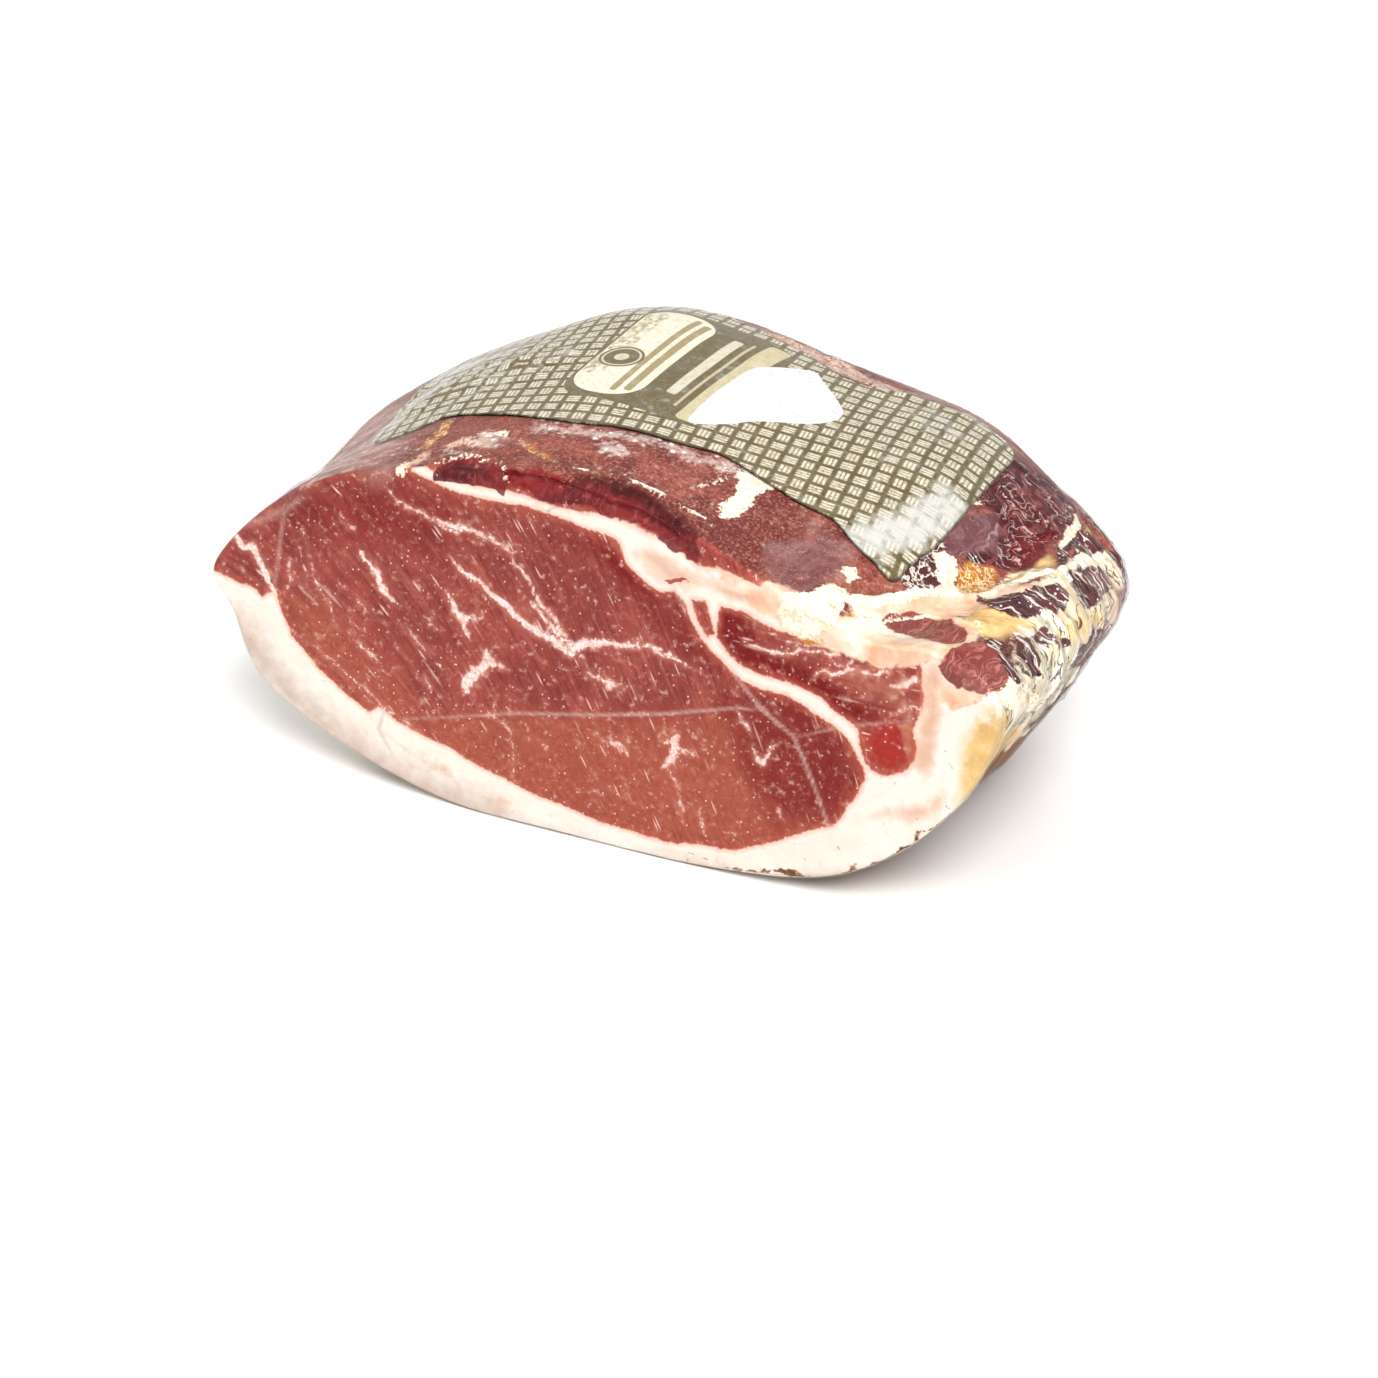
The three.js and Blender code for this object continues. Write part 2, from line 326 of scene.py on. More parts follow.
@dataclass
class HamForm:
    """The ham's outer form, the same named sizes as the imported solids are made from."""

    depth: float = 182.0
    closing_start: float = 94.0
    closing_power: float = 2.1
    closing_height: float = 58.0
    closing_across: float = 116.0
    end_fat: float = 8.0
    fold_pitch: float = 14.0
    fold_height: float = 1.3
    fold_start: float = 14.0
    rim_radius: float = 1.8
    way_to_end: float = 150.0  # about the way over the closing end
    stations: tuple[float, ...] = (0, 35, 70, 105)
    rails: dict[str, Rail] = field(default_factory=lambda: RAILS)

    def place_of(self, name: str) -> int:
        """Gives a rail's place round the section."""
        return list(self.rails).index(name)

    def along(self, values: Array, depth: Array) -> Array:
        """Reads values given at the stations at other depths.

        Args:
            values: the last axis runs over the stations.
            depth: depths in mm.

        Returns:
            The same array with its last axis over the depths.
        """
        last = len(self.stations) - 1
        place = np.clip(depth / (self.stations[1] - self.stations[0]), 0, last)
        i = np.minimum(np.floor(place).astype(int), last - 1)
        before = 2 * values[..., :1] - values[..., 1:2]
        after = 2 * values[..., -1:] - values[..., -2:-1]
        full = np.concatenate([before, values, after], -1)
        return blend_four(full[..., i], full[..., i + 1], full[..., i + 2], full[..., i + 3], place - i)

    def closing(self, depth: Array) -> Array:
        """Says how much of its full size a section has at each depth."""
        share = np.clip((depth - self.closing_start) / (self.depth - self.closing_start), 0, 1)
        return (1 - share**self.closing_power) ** (1 / self.closing_power)

    def section(self, steps: int, depth: Array, outset: Array) -> Array:
        """Makes sections of the form, moved out along each section's own normal.

        Args:
            steps: points between two rails.
            depth: depths of the sections in mm.
            outset: how far out each point goes, as points by depths.

        Returns:
            Across and up for each point and depth.
        """
        at = np.array([rail.at for rail in self.rails.values()], float).transpose(0, 2, 1)
        knots = self.along(at, depth)
        count = len(knots)
        k = np.arange(count * steps)
        i = k // steps
        t = ((k % steps) / steps)[:, None, None]
        before, after, beyond = (knots[(i + shift) % count] for shift in (-1, 1, 2))
        curve = blend_four(before, knots[i], after, beyond, t)
        centre = np.array([self.closing_across, self.closing_height])[None, :, None]
        curve = centre + (curve - centre) * self.closing(depth)[None, None, :]
        tangent = np.roll(curve, -1, 0) - np.roll(curve, 1, 0)
        tangent /= np.linalg.norm(tangent, axis=1, keepdims=True)
        normal = np.stack([-tangent[:, 1], tangent[:, 0]], 1)
        return (curve + normal * outset[:, None, :]).transpose(0, 2, 1)

    def girth(self, steps: int) -> Array:
        """Measures the way round the cut face's rim.

        Args:
            steps: points between two rails.

        Returns:
            The way from the left tip to each point of a section, in mm.
        """
        rim = self.section(steps, np.zeros(1), np.zeros((len(self.rails) * steps, 1)))[:, 0]
        stretch = np.linalg.norm(np.roll(rim, -1, 0) - rim, axis=1)
        return np.concatenate([[0.0], np.cumsum(stretch)[:-1]])

    def fat_under(self, steps: int, depth: Array) -> Array:
        """Reads the fat's thickness round each section.

        Args:
            steps: points between two rails.
            depth: depths of the sections in mm.

        Returns:
            Thickness in mm as points by depths.
        """
        fat = np.array([rail.fat for rail in self.rails.values()], float)
        rows = self.along(fat, np.minimum(depth, self.stations[-1]))
        k = np.arange(len(rows) * steps)
        i = k // steps
        t = smooth_step((k % steps) / steps, 0, 1)[:, None]
        return rows[i] * (1 - t) + rows[(i + 1) % len(rows)] * t

    def folds(self, place: Array, depth: Array, wander: Array) -> Array:
        """Gives the height of the folds across the shank side.

        Args:
            place: place round the section in rails.
            depth: depth in mm.
            wander: how far the folds stray from straight, in mm.

        Returns:
            Height in mm above the mean surface.
        """
        start, end = self.place_of("groove"), self.place_of("base_right")
        across = np.sin(np.pi * np.clip((place - start) / (end - start), 0, 1))
        deep = smooth_step(depth, self.fold_start, self.fold_start + self.fold_pitch)
        wave = np.cos(2 * np.pi * (depth + wander) / self.fold_pitch)
        return self.fold_height * across * deep * self.closing(depth) * wave

    def ring_depths(self, spacing: float) -> Array:
        """Spaces the sections: close at the rim and where the end curves round.

        Args:
            spacing: distance between sections along the surface, in mm.

        Returns:
            Depths in mm.
        """
        rim = np.array([0.0, 0.2, 0.55, 1.0, 1.6])
        straight = np.arange(2.4, self.closing_start, spacing)
        turns = np.linspace(0, math.pi / 2, int(self.way_to_end / spacing))
        closing = self.closing_start + (self.depth - self.closing_start) * np.sin(turns)
        return np.concatenate([rim, straight, np.minimum(closing, self.depth - 0.02)])


class Workshop:
    """Turns arrays in the carver's frame into Blender meshes in the row frame."""

    @staticmethod
    def place(points: Array) -> Array:
        """Moves points from the carver's frame in mm to the row frame in metres."""
        return (points - np.array([MIDDLE_ACROSS, MIDDLE_DEEP, 0.0])) * MILLIMETRE

    @staticmethod
    def measure(mesh: bpy.types.Mesh) -> Array:
        """Reads a mesh's vertices back in the carver's frame.

        Args:
            mesh: a mesh in the row frame.

        Returns:
            Vertex places in mm.
        """
        flat = np.zeros(len(mesh.vertices) * 3, np.float32)
        mesh.vertices.foreach_get("co", flat)
        return flat.reshape(-1, 3).astype(float) / MILLIMETRE + np.array([MIDDLE_ACROSS, MIDDLE_DEEP, 0.0])

    @staticmethod
    def mesh_object(name: str, points: Array, faces: list[Array]) -> Solid:
        """Makes an object from points and faces.

        Args:
            name: the object's name.
            points: vertex places in mm, in the carver's frame.
            faces: arrays of corner numbers, each array with one count of corners a face.

        Returns:
            The linked object.
        """
        mesh = bpy.data.meshes.new(name)
        corners = np.concatenate([group.ravel() for group in faces])
        counts = np.concatenate([np.full(len(group), group.shape[1]) for group in faces])
        mesh.vertices.add(len(points))
        mesh.vertices.foreach_set("co", Workshop.place(points).astype(np.float32).ravel())
        mesh.loops.add(len(corners))
        mesh.loops.foreach_set("vertex_index", corners.astype(np.int32))
        mesh.polygons.add(len(counts))
        starts = np.concatenate([[0], np.cumsum(counts)[:-1]])
        mesh.polygons.foreach_set("loop_start", starts.astype(np.int32))
        mesh.update(calc_edges=True)
        mesh.validate()
        made = bpy.data.objects.new(name, mesh)
        bpy.context.scene.collection.objects.link(made)
        return made

    @staticmethod
    def loft(name: str, rings: Array) -> Solid:
        """Closes rings of points into one solid, with a point at each end.

        Args:
            name: the object's name.
            rings: points by rings by three, in mm; rings run from the front to the back.

        Returns:
            The solid's object.
        """
        around, deep, _ = rings.shape
        number = np.arange(around * deep).reshape(around, deep)
        ahead = np.roll(number, -1, 0)
        walls = np.stack([number[:, :-1], ahead[:, :-1], ahead[:, 1:], number[:, 1:]], -1).reshape(-1, 4)
        front, back = around * deep, around * deep + 1
        ends = np.array([rings[:, 0].mean(0), rings[:, -1].mean(0)])
        front_fan = np.stack([np.full(around, front), ahead[:, 0], number[:, 0]], -1)
        back_fan = np.stack([np.full(around, back), number[:, -1], ahead[:, -1]], -1)
        points = np.concatenate([rings.reshape(-1, 3), ends])
        return Workshop.mesh_object(name, points, [walls, front_fan, back_fan])

    @staticmethod
    def run_through(name: str, outline: Array, axis: int, low: float, high: float) -> Solid:
        """Runs a closed outline along one axis as a solid.

        Args:
            name: the object's name.
            outline: corners in the two other axes, in mm.
            axis: 1 to run along the depth, 2 to run upwards.
            low: where it starts.
            high: where it ends.

        Returns:
            The solid's object.
        """
        count = len(outline)
        turn = np.sum(outline[:, 0] * np.roll(outline[:, 1], -1) - np.roll(outline[:, 0], -1) * outline[:, 1])
        ring = outline if (turn > 0) == (axis == 2) else outline[::-1]
        ends = [np.insert(ring, axis, value, axis=1) for value in (low, high)]
        k = np.arange(count)
        ahead = (k + 1) % count
        walls = np.stack([k, ahead, ahead + count, k + count], -1)
        caps = [k[::-1][None, :], (k + count)[None, :]]
        return Workshop.mesh_object(name, np.concatenate(ends), [walls, *caps])

    @staticmethod
    def carve(source: Solid, tool: Solid, cut: Cut, name: str) -> Solid:
        """Cuts one solid with another and leaves both as they were.

        Args:
            source: the solid to cut.
            tool: the solid that cuts it.
            cut: what is kept.
            name: the new object's name.

        Returns:
            The cut solid's object.
        """
        made = bpy.data.objects.new(name, source.data.copy())
        bpy.context.scene.collection.objects.link(made)
        knife = made.modifiers.new("knife", "BOOLEAN")
        knife.operation = cut.value
        knife.solver = "MANIFOLD"
        knife.object = tool
        seen = made.evaluated_get(bpy.context.evaluated_depsgraph_get())
        result = bpy.data.meshes.new_from_object(seen)
        result.name = name
        made.modifiers.clear()
        made.data = result
        return made

    @staticmethod
    def scrap(*objects: Solid) -> None:
        """Clears away helper objects."""
        for thing in objects:
            bpy.data.objects.remove(thing, do_unlink=True)

    @staticmethod
    def give_fields(mesh: bpy.types.Mesh, fields: dict[str, Array]) -> None:
        """Stores painted fields on a mesh's vertices.

        Args:
            mesh: the mesh to paint.
            fields: for each field's name, one value a vertex.
        """
        for name, values in fields.items():
            made = mesh.attributes.new(name, "FLOAT", "POINT")
            made.data.foreach_set("value", values.astype(np.float32))

    @staticmethod
    def finish_piece(piece: Solid, node: Node, material: Finish) -> None:
        """Smooths, dresses and seats a piece on the frame.

        Args:
            piece: the dressed object.
            node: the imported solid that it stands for.
            material: its finish.
        """
        mesh = piece.data
        mesh.polygons.foreach_set("use_smooth", np.ones(len(mesh.polygons), bool))
        mesh.set_sharp_from_angle(angle=math.radians(SHARP_BEND))
        mesh.materials.clear()
        mesh.materials.append(material)
        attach(piece, "root")
        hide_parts(node.value)
        triangles = sum(len(face.vertices) - 2 for face in mesh.polygons)
        LOG.info("%s: %d vertices, %d triangles", piece.name, len(mesh.vertices), triangles)


def add_node(
    tree: bpy.types.NodeTree, kind: str, sockets: Sockets, out: int | str = 0, **settings: str
) -> Socket | None:
    """Adds a shader node with its settings and links.

    Args:
        tree: the node tree of a material or of the world.
        kind: the node's type, without its leading ShaderNode.
        sockets: for each input, by name or number, a value to set or an output to link.
        out: which output is wanted.
        **settings: values for the node's own properties.

    Returns:
        The wanted output, or None for a node without outputs.
    """
    node = tree.nodes.new("ShaderNode" + kind)
    for name, value in settings.items():
        setattr(node, name, value)
    for name, value in sockets.items():
        if isinstance(value, Socket):
            tree.links.new(value, node.inputs[name])
        else:
            node.inputs[name].default_value = value
    return node.outputs[out] if len(node.outputs) else None


class Dye:
    """Builds a layered colour in one material from painted fields and procedural patterns."""

    def __init__(self, name: str) -> None:
        """Starts an empty material.

        Args:
            name: what the real material is.
        """
        self.material = bpy.data.materials.new(name)
        self.material.use_nodes = True
        tree = self.material.node_tree
        tree.nodes.clear()
        self.add = partial(add_node, tree)
        self.where = self.add("TexCoord", {}, "Object")
        self.made: dict[object, Socket] = {}

    def field(self, name: str) -> Socket:
        """Reads a painted field.

        Args:
            name: the field's name on the mesh.

        Returns:
            The field's output.
        """
        if name not in self.made:
            self.made[name] = self.add("Attribute", {}, "Fac", attribute_name=name)
        return self.made[name]

    def noise(self, pitch: float) -> Socket:
        """Gives cloudy noise that runs mostly from 0.3 to 0.7.

        Args:
            pitch: size of the clouds in mm.

        Returns:
            The noise output.
        """
        if pitch not in self.made:
            scale = 1 / (pitch * MILLIMETRE)
            sockets = {"Vector": self.where, "Scale": scale, "Detail": 3.0, "Roughness": 0.62}
            self.made[pitch] = self.add("TexNoise", sockets, "Fac")
        return self.made[pitch]

    def drawn(self, pattern: "Pattern") -> Socket:
        """Draws a pattern, once for each material.

        Args:
            pattern: the pattern to draw.

        Returns:
            The mask output.
        """
        if pattern not in self.made:
            self.made[pattern] = pattern.value.draw(self)
        return self.made[pattern]

    def flow(self, along: str, across: str, length: float, width: float) -> Socket:
        """Makes a texture place that is drawn out along one painted direction.

        Args:
            along: the field that runs along the grain, in mm.
            across: the field that runs across it.
            length: the pattern's length in mm.
            width: its width.

        Returns:
            The vector output.
        """
        first = self.add("Math", {0: self.field(along), 1: length}, operation="DIVIDE")
        second = self.add("Math", {0: self.field(across), 1: width}, operation="DIVIDE")
        return self.add("CombineXYZ", {0: first, 1: second})

    def streaks(self, along: str, across: str, length: float, width: float) -> Socket:
        """Gives noise drawn out along one painted direction.

        Args:
            along: the field that runs along the grain, in mm.
            across: the field that runs across it.
            length: the streaks' length in mm.
            width: their width.

        Returns:
            The noise output.
        """
        place = self.flow(along, across, length, width)
        sockets = {"Vector": place, "Scale": 1.0, "Detail": 3.0, "Roughness": 0.6}
        return self.add("TexNoise", sockets, "Fac")

    def dots(self, vector: Socket, scale: float, reach: float, share: float) -> Socket:
        """Scatters dots, or short dashes where the place is drawn out.

        Args:
            vector: the texture place.
            scale: cells for each unit of the place.
            reach: the dots' radius as a share of a cell.
            share: how many of the cells have one.

        Returns:
            The mask output.
        """
        cells = self.add("TexVoronoi", {"Vector": vector, "Scale": scale})
        torn = self.add("Math", {0: self.noise(1.0), 1: 0.7 * reach, 2: cells}, operation="MULTIPLY_ADD")
        mask = self.add("MapRange", {0: torn, 1: 1.35 * reach, 2: 0.85 * reach})
        pick = self.add("SeparateColor", {0: cells.node.outputs["Color"]})
        chosen = self.add("Math", {0: pick, 1: share}, operation="LESS_THAN")
        return self.add("Math", {0: mask, 1: chosen}, operation="MULTIPLY")

    def apart(self, value: Socket, middle: float) -> Socket:
        """Measures how far an output lies from a middle value, either way."""
        offset = self.add("Math", {0: value, 1: middle}, operation="SUBTRACT")
        return self.add("Math", {0: offset}, operation="ABSOLUTE")

    def contour(self, noise: Socket, reach: float) -> Socket:
        """Draws wandering lines where noise crosses its middle; reach is how far they spread from it."""
        return self.add("MapRange", {0: self.apart(noise, 0.5), 1: reach, 2: 0.3 * reach})

    def lay(self, under: Socket | str, layers: tuple["Layer", ...]) -> Socket:
        """Lays colours over what is beneath them.

        Args:
            under: a colour's hex code, or the output beneath.
            layers: the layers from the lowest to the highest.

        Returns:
            The colour output.
        """
        colour = linear_colour(under) if isinstance(under, str) else under
        for layer in layers:
            sockets = {0: layer.mask(self), 6: colour, 7: linear_colour(layer.colour)}
            colour = self.add("Mix", sockets, 2, data_type="RGBA")
        return colour

    def surface(self, kind: str, sockets: Sockets) -> Finish:
        """Ends the material in one surface shader of a kind, with its inputs, and gives the material."""
        self.add("OutputMaterial", {"Surface": self.add(kind, sockets)})
        return self.material


@dataclass(frozen=True)
class Clouds:
    """Soft clouds of one pitch in mm; low and high bound their edge."""

    pitch: float
    low: float
    high: float

    def draw(self, dye: Dye) -> Socket:
        """Draws the clouds in a material."""
        return dye.add("MapRange", {0: dye.noise(self.pitch), 1: self.low, 2: self.high})


@dataclass(frozen=True)
class Marbling:
    """Wandering lines that follow clouds of one pitch in mm."""

    pitch: float
    reach: float

    def draw(self, dye: Dye) -> Socket:
        """Draws the lines in a material."""
        return dye.contour(dye.noise(self.pitch), self.reach)


@dataclass(frozen=True)
class Dots:
    """Scattered dots: cells for each mm, the dots' radius in cells and the share of cells with one."""

    density: float
    reach: float
    share: float

    def draw(self, dye: Dye) -> Socket:
        """Draws the dots in a material."""
        return dye.dots(dye.where, self.density / MILLIMETRE, self.reach, self.share)


@dataclass(frozen=True)
class Dashes:
    """Short dashes along the muscle's fibre, in cells of some length and width in mm."""

    length: float
    width: float
    reach: float
    share: float

    def draw(self, dye: Dye) -> Socket:
        """Draws the dashes in a material."""
        return dye.dots(dye.flow("fibre_u", "fibre_v", self.length, self.width), 1.0, self.reach, self.share)


@dataclass(frozen=True)
class Streaks:
    """Streaks of some length and width in mm along a painted field; low and high bound their edge."""

    along: str
    across: str
    length: float
    width: float
    low: float
    high: float

    def draw(self, dye: Dye) -> Socket:
        """Draws the streaks in a material."""
        noise = dye.streaks(self.along, self.across, self.length, self.width)
        return dye.add("MapRange", {0: noise, 1: self.low, 2: self.high})


@dataclass(frozen=True)
class Threads:
    """Thin wandering threads of some length and width in mm along a painted field."""

    along: str
    across: str
    length: float
    width: float
    reach: float

    def draw(self, dye: Dye) -> Socket:
        """Draws the threads in a material."""
        return dye.contour(dye.streaks(self.along, self.across, self.length, self.width), self.reach)


class Pattern(Enum):
    """The patterns that break layers up."""

    CLOUD = Clouds(8.0, 0.35, 0.65)
    BLOTCH = Clouds(14.0, 0.42, 0.62)
    GRAIN = Clouds(1.0, 0.5, 0.62)
    MARBLE = Marbling(5.0, 0.035)
    FINE_MARBLE = Marbling(2.2, 0.06)
    SPECK = Dots(0.45, 0.17, 0.45)
    SALT = Dots(0.62, 0.3, 0.4)
    FLAKE = Dots(0.34, 0.36, 0.5)
    DASH = Dashes(14.0, 2.4, 0.2, 0.4)
    LONG_DASH = Dashes(36.0, 4.6, 0.16, 0.35)
    FIBRE = Streaks("fibre_u", "fibre_v", 16.0, 1.6, 0.48, 0.7)
    PALE_FIBRE = Streaks("fibre_u", "fibre_v", 24.0, 2.6, 0.5, 0.7)
    FOLD = Streaks("girth", "depth", 26.0, 6.0, 0.46, 0.6)
    STREAK = Streaks("girth", "depth", 26.0, 3.0, 0.5, 0.6)
    FINE_STREAK = Streaks("girth", "depth", 16.0, 1.4, 0.55, 0.62)
    CROSS_STREAK = Streaks("depth", "girth", 12.0, 1.3, 0.5, 0.62)
    THREAD = Threads("depth", "girth", 14.0, 5.0, 0.014)
    # painted shade: thin dark lines in the wrinkles' grooves
    WRINKLE_SHADE = Threads("girth", "depth", 26.0, 5.0, 0.018)


@dataclass(frozen=True)
class Layer:
    """A colour laid over what is beneath it where its field is high.

    low and high bound the edge in the field's own units, full is its strength, ragged tears the edge by
    noise of the given pitch in mm, and pattern breaks the layer up. A layer without a field lies all over.
    """

    source: str
    colour: str
    low: float = 0.4
    high: float = 0.6
    full: float = 1.0
    ragged: float = 0.5
    pitch: float = 2.2
    pattern: Pattern | None = None

    def mask(self, dye: Dye) -> Socket | float:
        """Says where the layer lies.

        Args:
            dye: the material in the making.

        Returns:
            The mask output, or the strength where it is even.
        """
        mask = self.full
        if self.source:
            torn = dye.add("Math", {0: dye.noise(self.pitch), 1: 0.5}, operation="SUBTRACT")
            sockets = {0: torn, 1: 2 * self.ragged, 2: dye.field(self.source)}
            torn = dye.add("Math", sockets, operation="MULTIPLY_ADD")
            mask = dye.add("MapRange", {0: torn, 1: self.low, 2: self.high, 3: 0.0, 4: self.full})
        if self.pattern:
            mask = dye.add("Math", {0: dye.drawn(self.pattern), 1: mask}, operation="MULTIPLY")
        return mask


# Knife-cut lean, from its fibres up to the marbling, the seam fat and what the film presses on it, with
# painted shade at the fat's lower edge.
LEAN_LAYERS = (
    Layer("", "#84302F", full=0.6, pattern=Pattern.BLOTCH),
    Layer("", "#6E1F20", full=0.65, pattern=Pattern.FIBRE),
    Layer("", "#C07464", full=0.45, pattern=Pattern.PALE_FIBRE),
    Layer("warm", "#B4624A", 0.15, 0.85, 0.6, 0.3, 8.0),
    Layer("crimson", "#7E030A", 0.1, 0.9, 0.97, 0.3, 5.0),
    Layer("orange", "#AE2C22", 0.2, 0.8, 0.9, 0.3, 5.0),
    Layer("fat", "#C86A52", -2.6, 0.3, 0.6, 0.8, 2.2),
    Layer("", "#7A2220", full=0.25, pattern=Pattern.MARBLE),
    Layer("halo", "#D2897A", 0.05, 1.0, 0.6, 0.5, 5.0),
    Layer("", "#EDC8BC", full=0.5, pattern=Pattern.LONG_DASH),
    Layer("", "#F2D2C8", full=0.75, pattern=Pattern.DASH),
    # white specks: salt crystals, with painted glints among them
    Layer("", "#F8E2DA", full=0.8, pattern=Pattern.SPECK),
    Layer("vein", "#DFA798", 0.1, 0.7, 0.6, 1.0, 2.2),
    Layer("vein", "#EED2CA", 0.4, 0.85, 0.75, 1.5, 2.2),
    Layer("vein", "#F8EAE6", 0.6, 1.0, 0.9, 1.7, 1.0),
    Layer("fat", "#F2CDBE", -0.3, 0.35, 1.0, 0.9, 1.0),
    Layer("fat", "#F1EAE1", 0.3, 1.7, 1.0, 1.1, 2.2),
    Layer("fat", "#E8D2C4", 1.0, 3.0, 0.3, 0.8, 5.0, Pattern.BLOTCH),
    Layer("blush", "#DFA988", 0.2, 0.9, 0.75, 0.5, 5.0),
    # painted shade: darkens the fat towards the cut face's lower edge
    Layer("dull", "#B99E90", 0.1, 1.0, 0.85, 0.4, 5.0),
    Layer("slit", "#A23A34", 0.4, 0.7, 0.9, 0.2, 1.0),
)

# What drying, trimming and salt left on the outside and on the cut face's rim, with painted shade and painted
# film glare.
OUTER_LAYERS = (
    Layer("rind", "#996634", 0.35, 0.6, 1.0, 0.6, 2.2),
    Layer("rind", "#5E3A22", 0.35, 0.6, 0.8, 0.6, 2.2, Pattern.CLOUD),
    Layer("peach", "#EBCBAE", 0.3, 0.7, 1.0, 0.6, 2.2),
    Layer("peach", "#E8A684", 0.4, 0.9, 0.7, 0.9, 5.0, Pattern.CLOUD),
    Layer("peach", "#FBF3E9", 0.4, 0.9, 0.7, 0.9, 5.0, Pattern.BLOTCH),
    Layer("streaky", "#E6DAC0", 0.3, 0.6, 0.97, 0.7, 2.2),
    Layer("streaky", "#BFA68C", 0.3, 0.6, 0.6, 0.7, 2.2, Pattern.FOLD),
    Layer("yellow", "#EBCD92", 0.1, 1.0, 1.0, 0.5, 5.0),
    Layer("yellow", "#C79248", 0.5, 0.9, 0.45, 0.8, 2.2, Pattern.CLOUD),
    Layer("streaky", "#FBF8F1", 0.3, 0.6, 0.85, 0.7, 2.2, Pattern.STREAK),
    Layer("rose", "#964640", 0.3, 0.6, 0.95, 0.5, 2.2),
    Layer("rose", "#783230", 0.4, 0.8, 0.6, 0.3, 2.2, Pattern.CLOUD),
    Layer("rose", "#D0968A", 0.4, 0.7, 0.6, 0.3, 2.2, Pattern.CROSS_STREAK),
    Layer("deep", "#642028", 0.35, 0.65, 0.97, 0.5, 2.2),
    Layer("deep", "#380A12", 0.5, 0.8, 0.75, 0.3, 2.2, Pattern.CLOUD),
    Layer("deep", "#B8746E", 0.5, 0.8, 0.45, 0.3, 2.2, Pattern.CROSS_STREAK),
    Layer("bright", "#660C14", 0.2, 0.9, 0.9, 0.6, 2.2),
    Layer("bright", "#A83C3A", 0.4, 0.8, 0.4, 0.3, 2.2, Pattern.CROSS_STREAK),
    Layer("deep", "#F0E0D8", 0.6, 0.9, 0.85, 0.3, 2.2, Pattern.THREAD),
    Layer("wine", "#86262A", 0.3, 0.7, 0.95, 0.5, 2.2),
    Layer("wine", "#560F17", 0.4, 0.8, 0.65, 0.4, 5.0, Pattern.BLOTCH),
    Layer("wine", "#BE7672", 0.5, 0.9, 0.3, 0.4, 2.2, Pattern.CROSS_STREAK),
    Layer("shadow", "#2C070B", 0.2, 0.95, 0.9, 0.4, 2.2),
    # painted reflection: the film's glare patches, grey-mauve over the meat with fine pale streaks
    Layer("mauve", "#643A44", 0.3, 0.7, 0.8, 0.2, 2.2),
    Layer("mauve", "#D0AEB2", 0.2, 0.6, 0.6, 0.2, 2.2, Pattern.CROSS_STREAK),
    Layer("lean_line", "#6A2428", 0.35, 0.6, 0.75, 0.5, 2.2, Pattern.CROSS_STREAK),
    Layer("dark", "#4A2028", 0.35, 0.6, 0.97, 0.8, 2.2),
    Layer("dark", "#7A464A", 0.35, 0.6, 0.6, 0.8, 2.2, Pattern.CLOUD),
    Layer("dark", "#F5EDE0", 0.4, 0.7, 0.9, 0.7, 2.2, Pattern.FINE_STREAK),
    Layer("dark", "#F8F3EA", 0.4, 0.7, 0.9, 0.7, 2.2, Pattern.SALT),
    # painted shade: thin dark lines in the wrinkles' grooves
    Layer("streaky", "#2E1A1C", 0.4, 0.7, 0.85, 0.6, 2.2, Pattern.WRINKLE_SHADE),
    Layer("crust", "#E3BFA8", 0.35, 0.7, 0.8, 1.0, 5.0),
    Layer("crust", "#F7EEE2", 0.35, 0.7, 0.85, 0.8, 2.2, Pattern.GRAIN),
    Layer("crust", "#8E2B30", 0.35, 0.7, 0.7, 0.8, 2.2, Pattern.MARBLE),
    Layer("netted", "#3E1A22", 0.35, 0.6, 0.8, 0.8, 2.2),
    Layer("netted", "#6E3A44", 0.35, 0.6, 0.7, 0.8, 2.2, Pattern.CLOUD),
    Layer("netted", "#EFE6DC", 0.35, 0.6, 0.9, 0.8, 2.2, Pattern.MARBLE),
    Layer("netted", "#F5EFE6", 0.35, 0.6, 0.8, 0.8, 1.0, Pattern.FLAKE),
    Layer("cream", "#F6EEDC", 0.35, 0.6, 1.0, 0.9, 1.0),
    Layer("cream", "#D2B384", 0.4, 0.7, 0.5, 0.6, 2.2, Pattern.MARBLE),
    Layer("amber", "#CC8A2E", 0.3, 0.9, 0.85, 1.0, 2.2),
    Layer("amber", "#9A5A14", 0.5, 0.9, 0.6, 0.8, 2.2, Pattern.CLOUD),
    Layer("amber", "#F4E6BE", 0.4, 0.8, 0.8, 0.8, 1.0, Pattern.FINE_MARBLE),
    Layer("bloom", "#E2D6CF", 0.45, 0.95, 0.6, 1.1, 2.2),
    Layer("bloom", "#F5F0EA", 0.15, 0.6, 0.9, 0.7, 5.0, Pattern.FLAKE),
    Layer("bloom", "#F2ECE4", 0.15, 0.6, 0.8, 0.6, 5.0, Pattern.SALT),
)


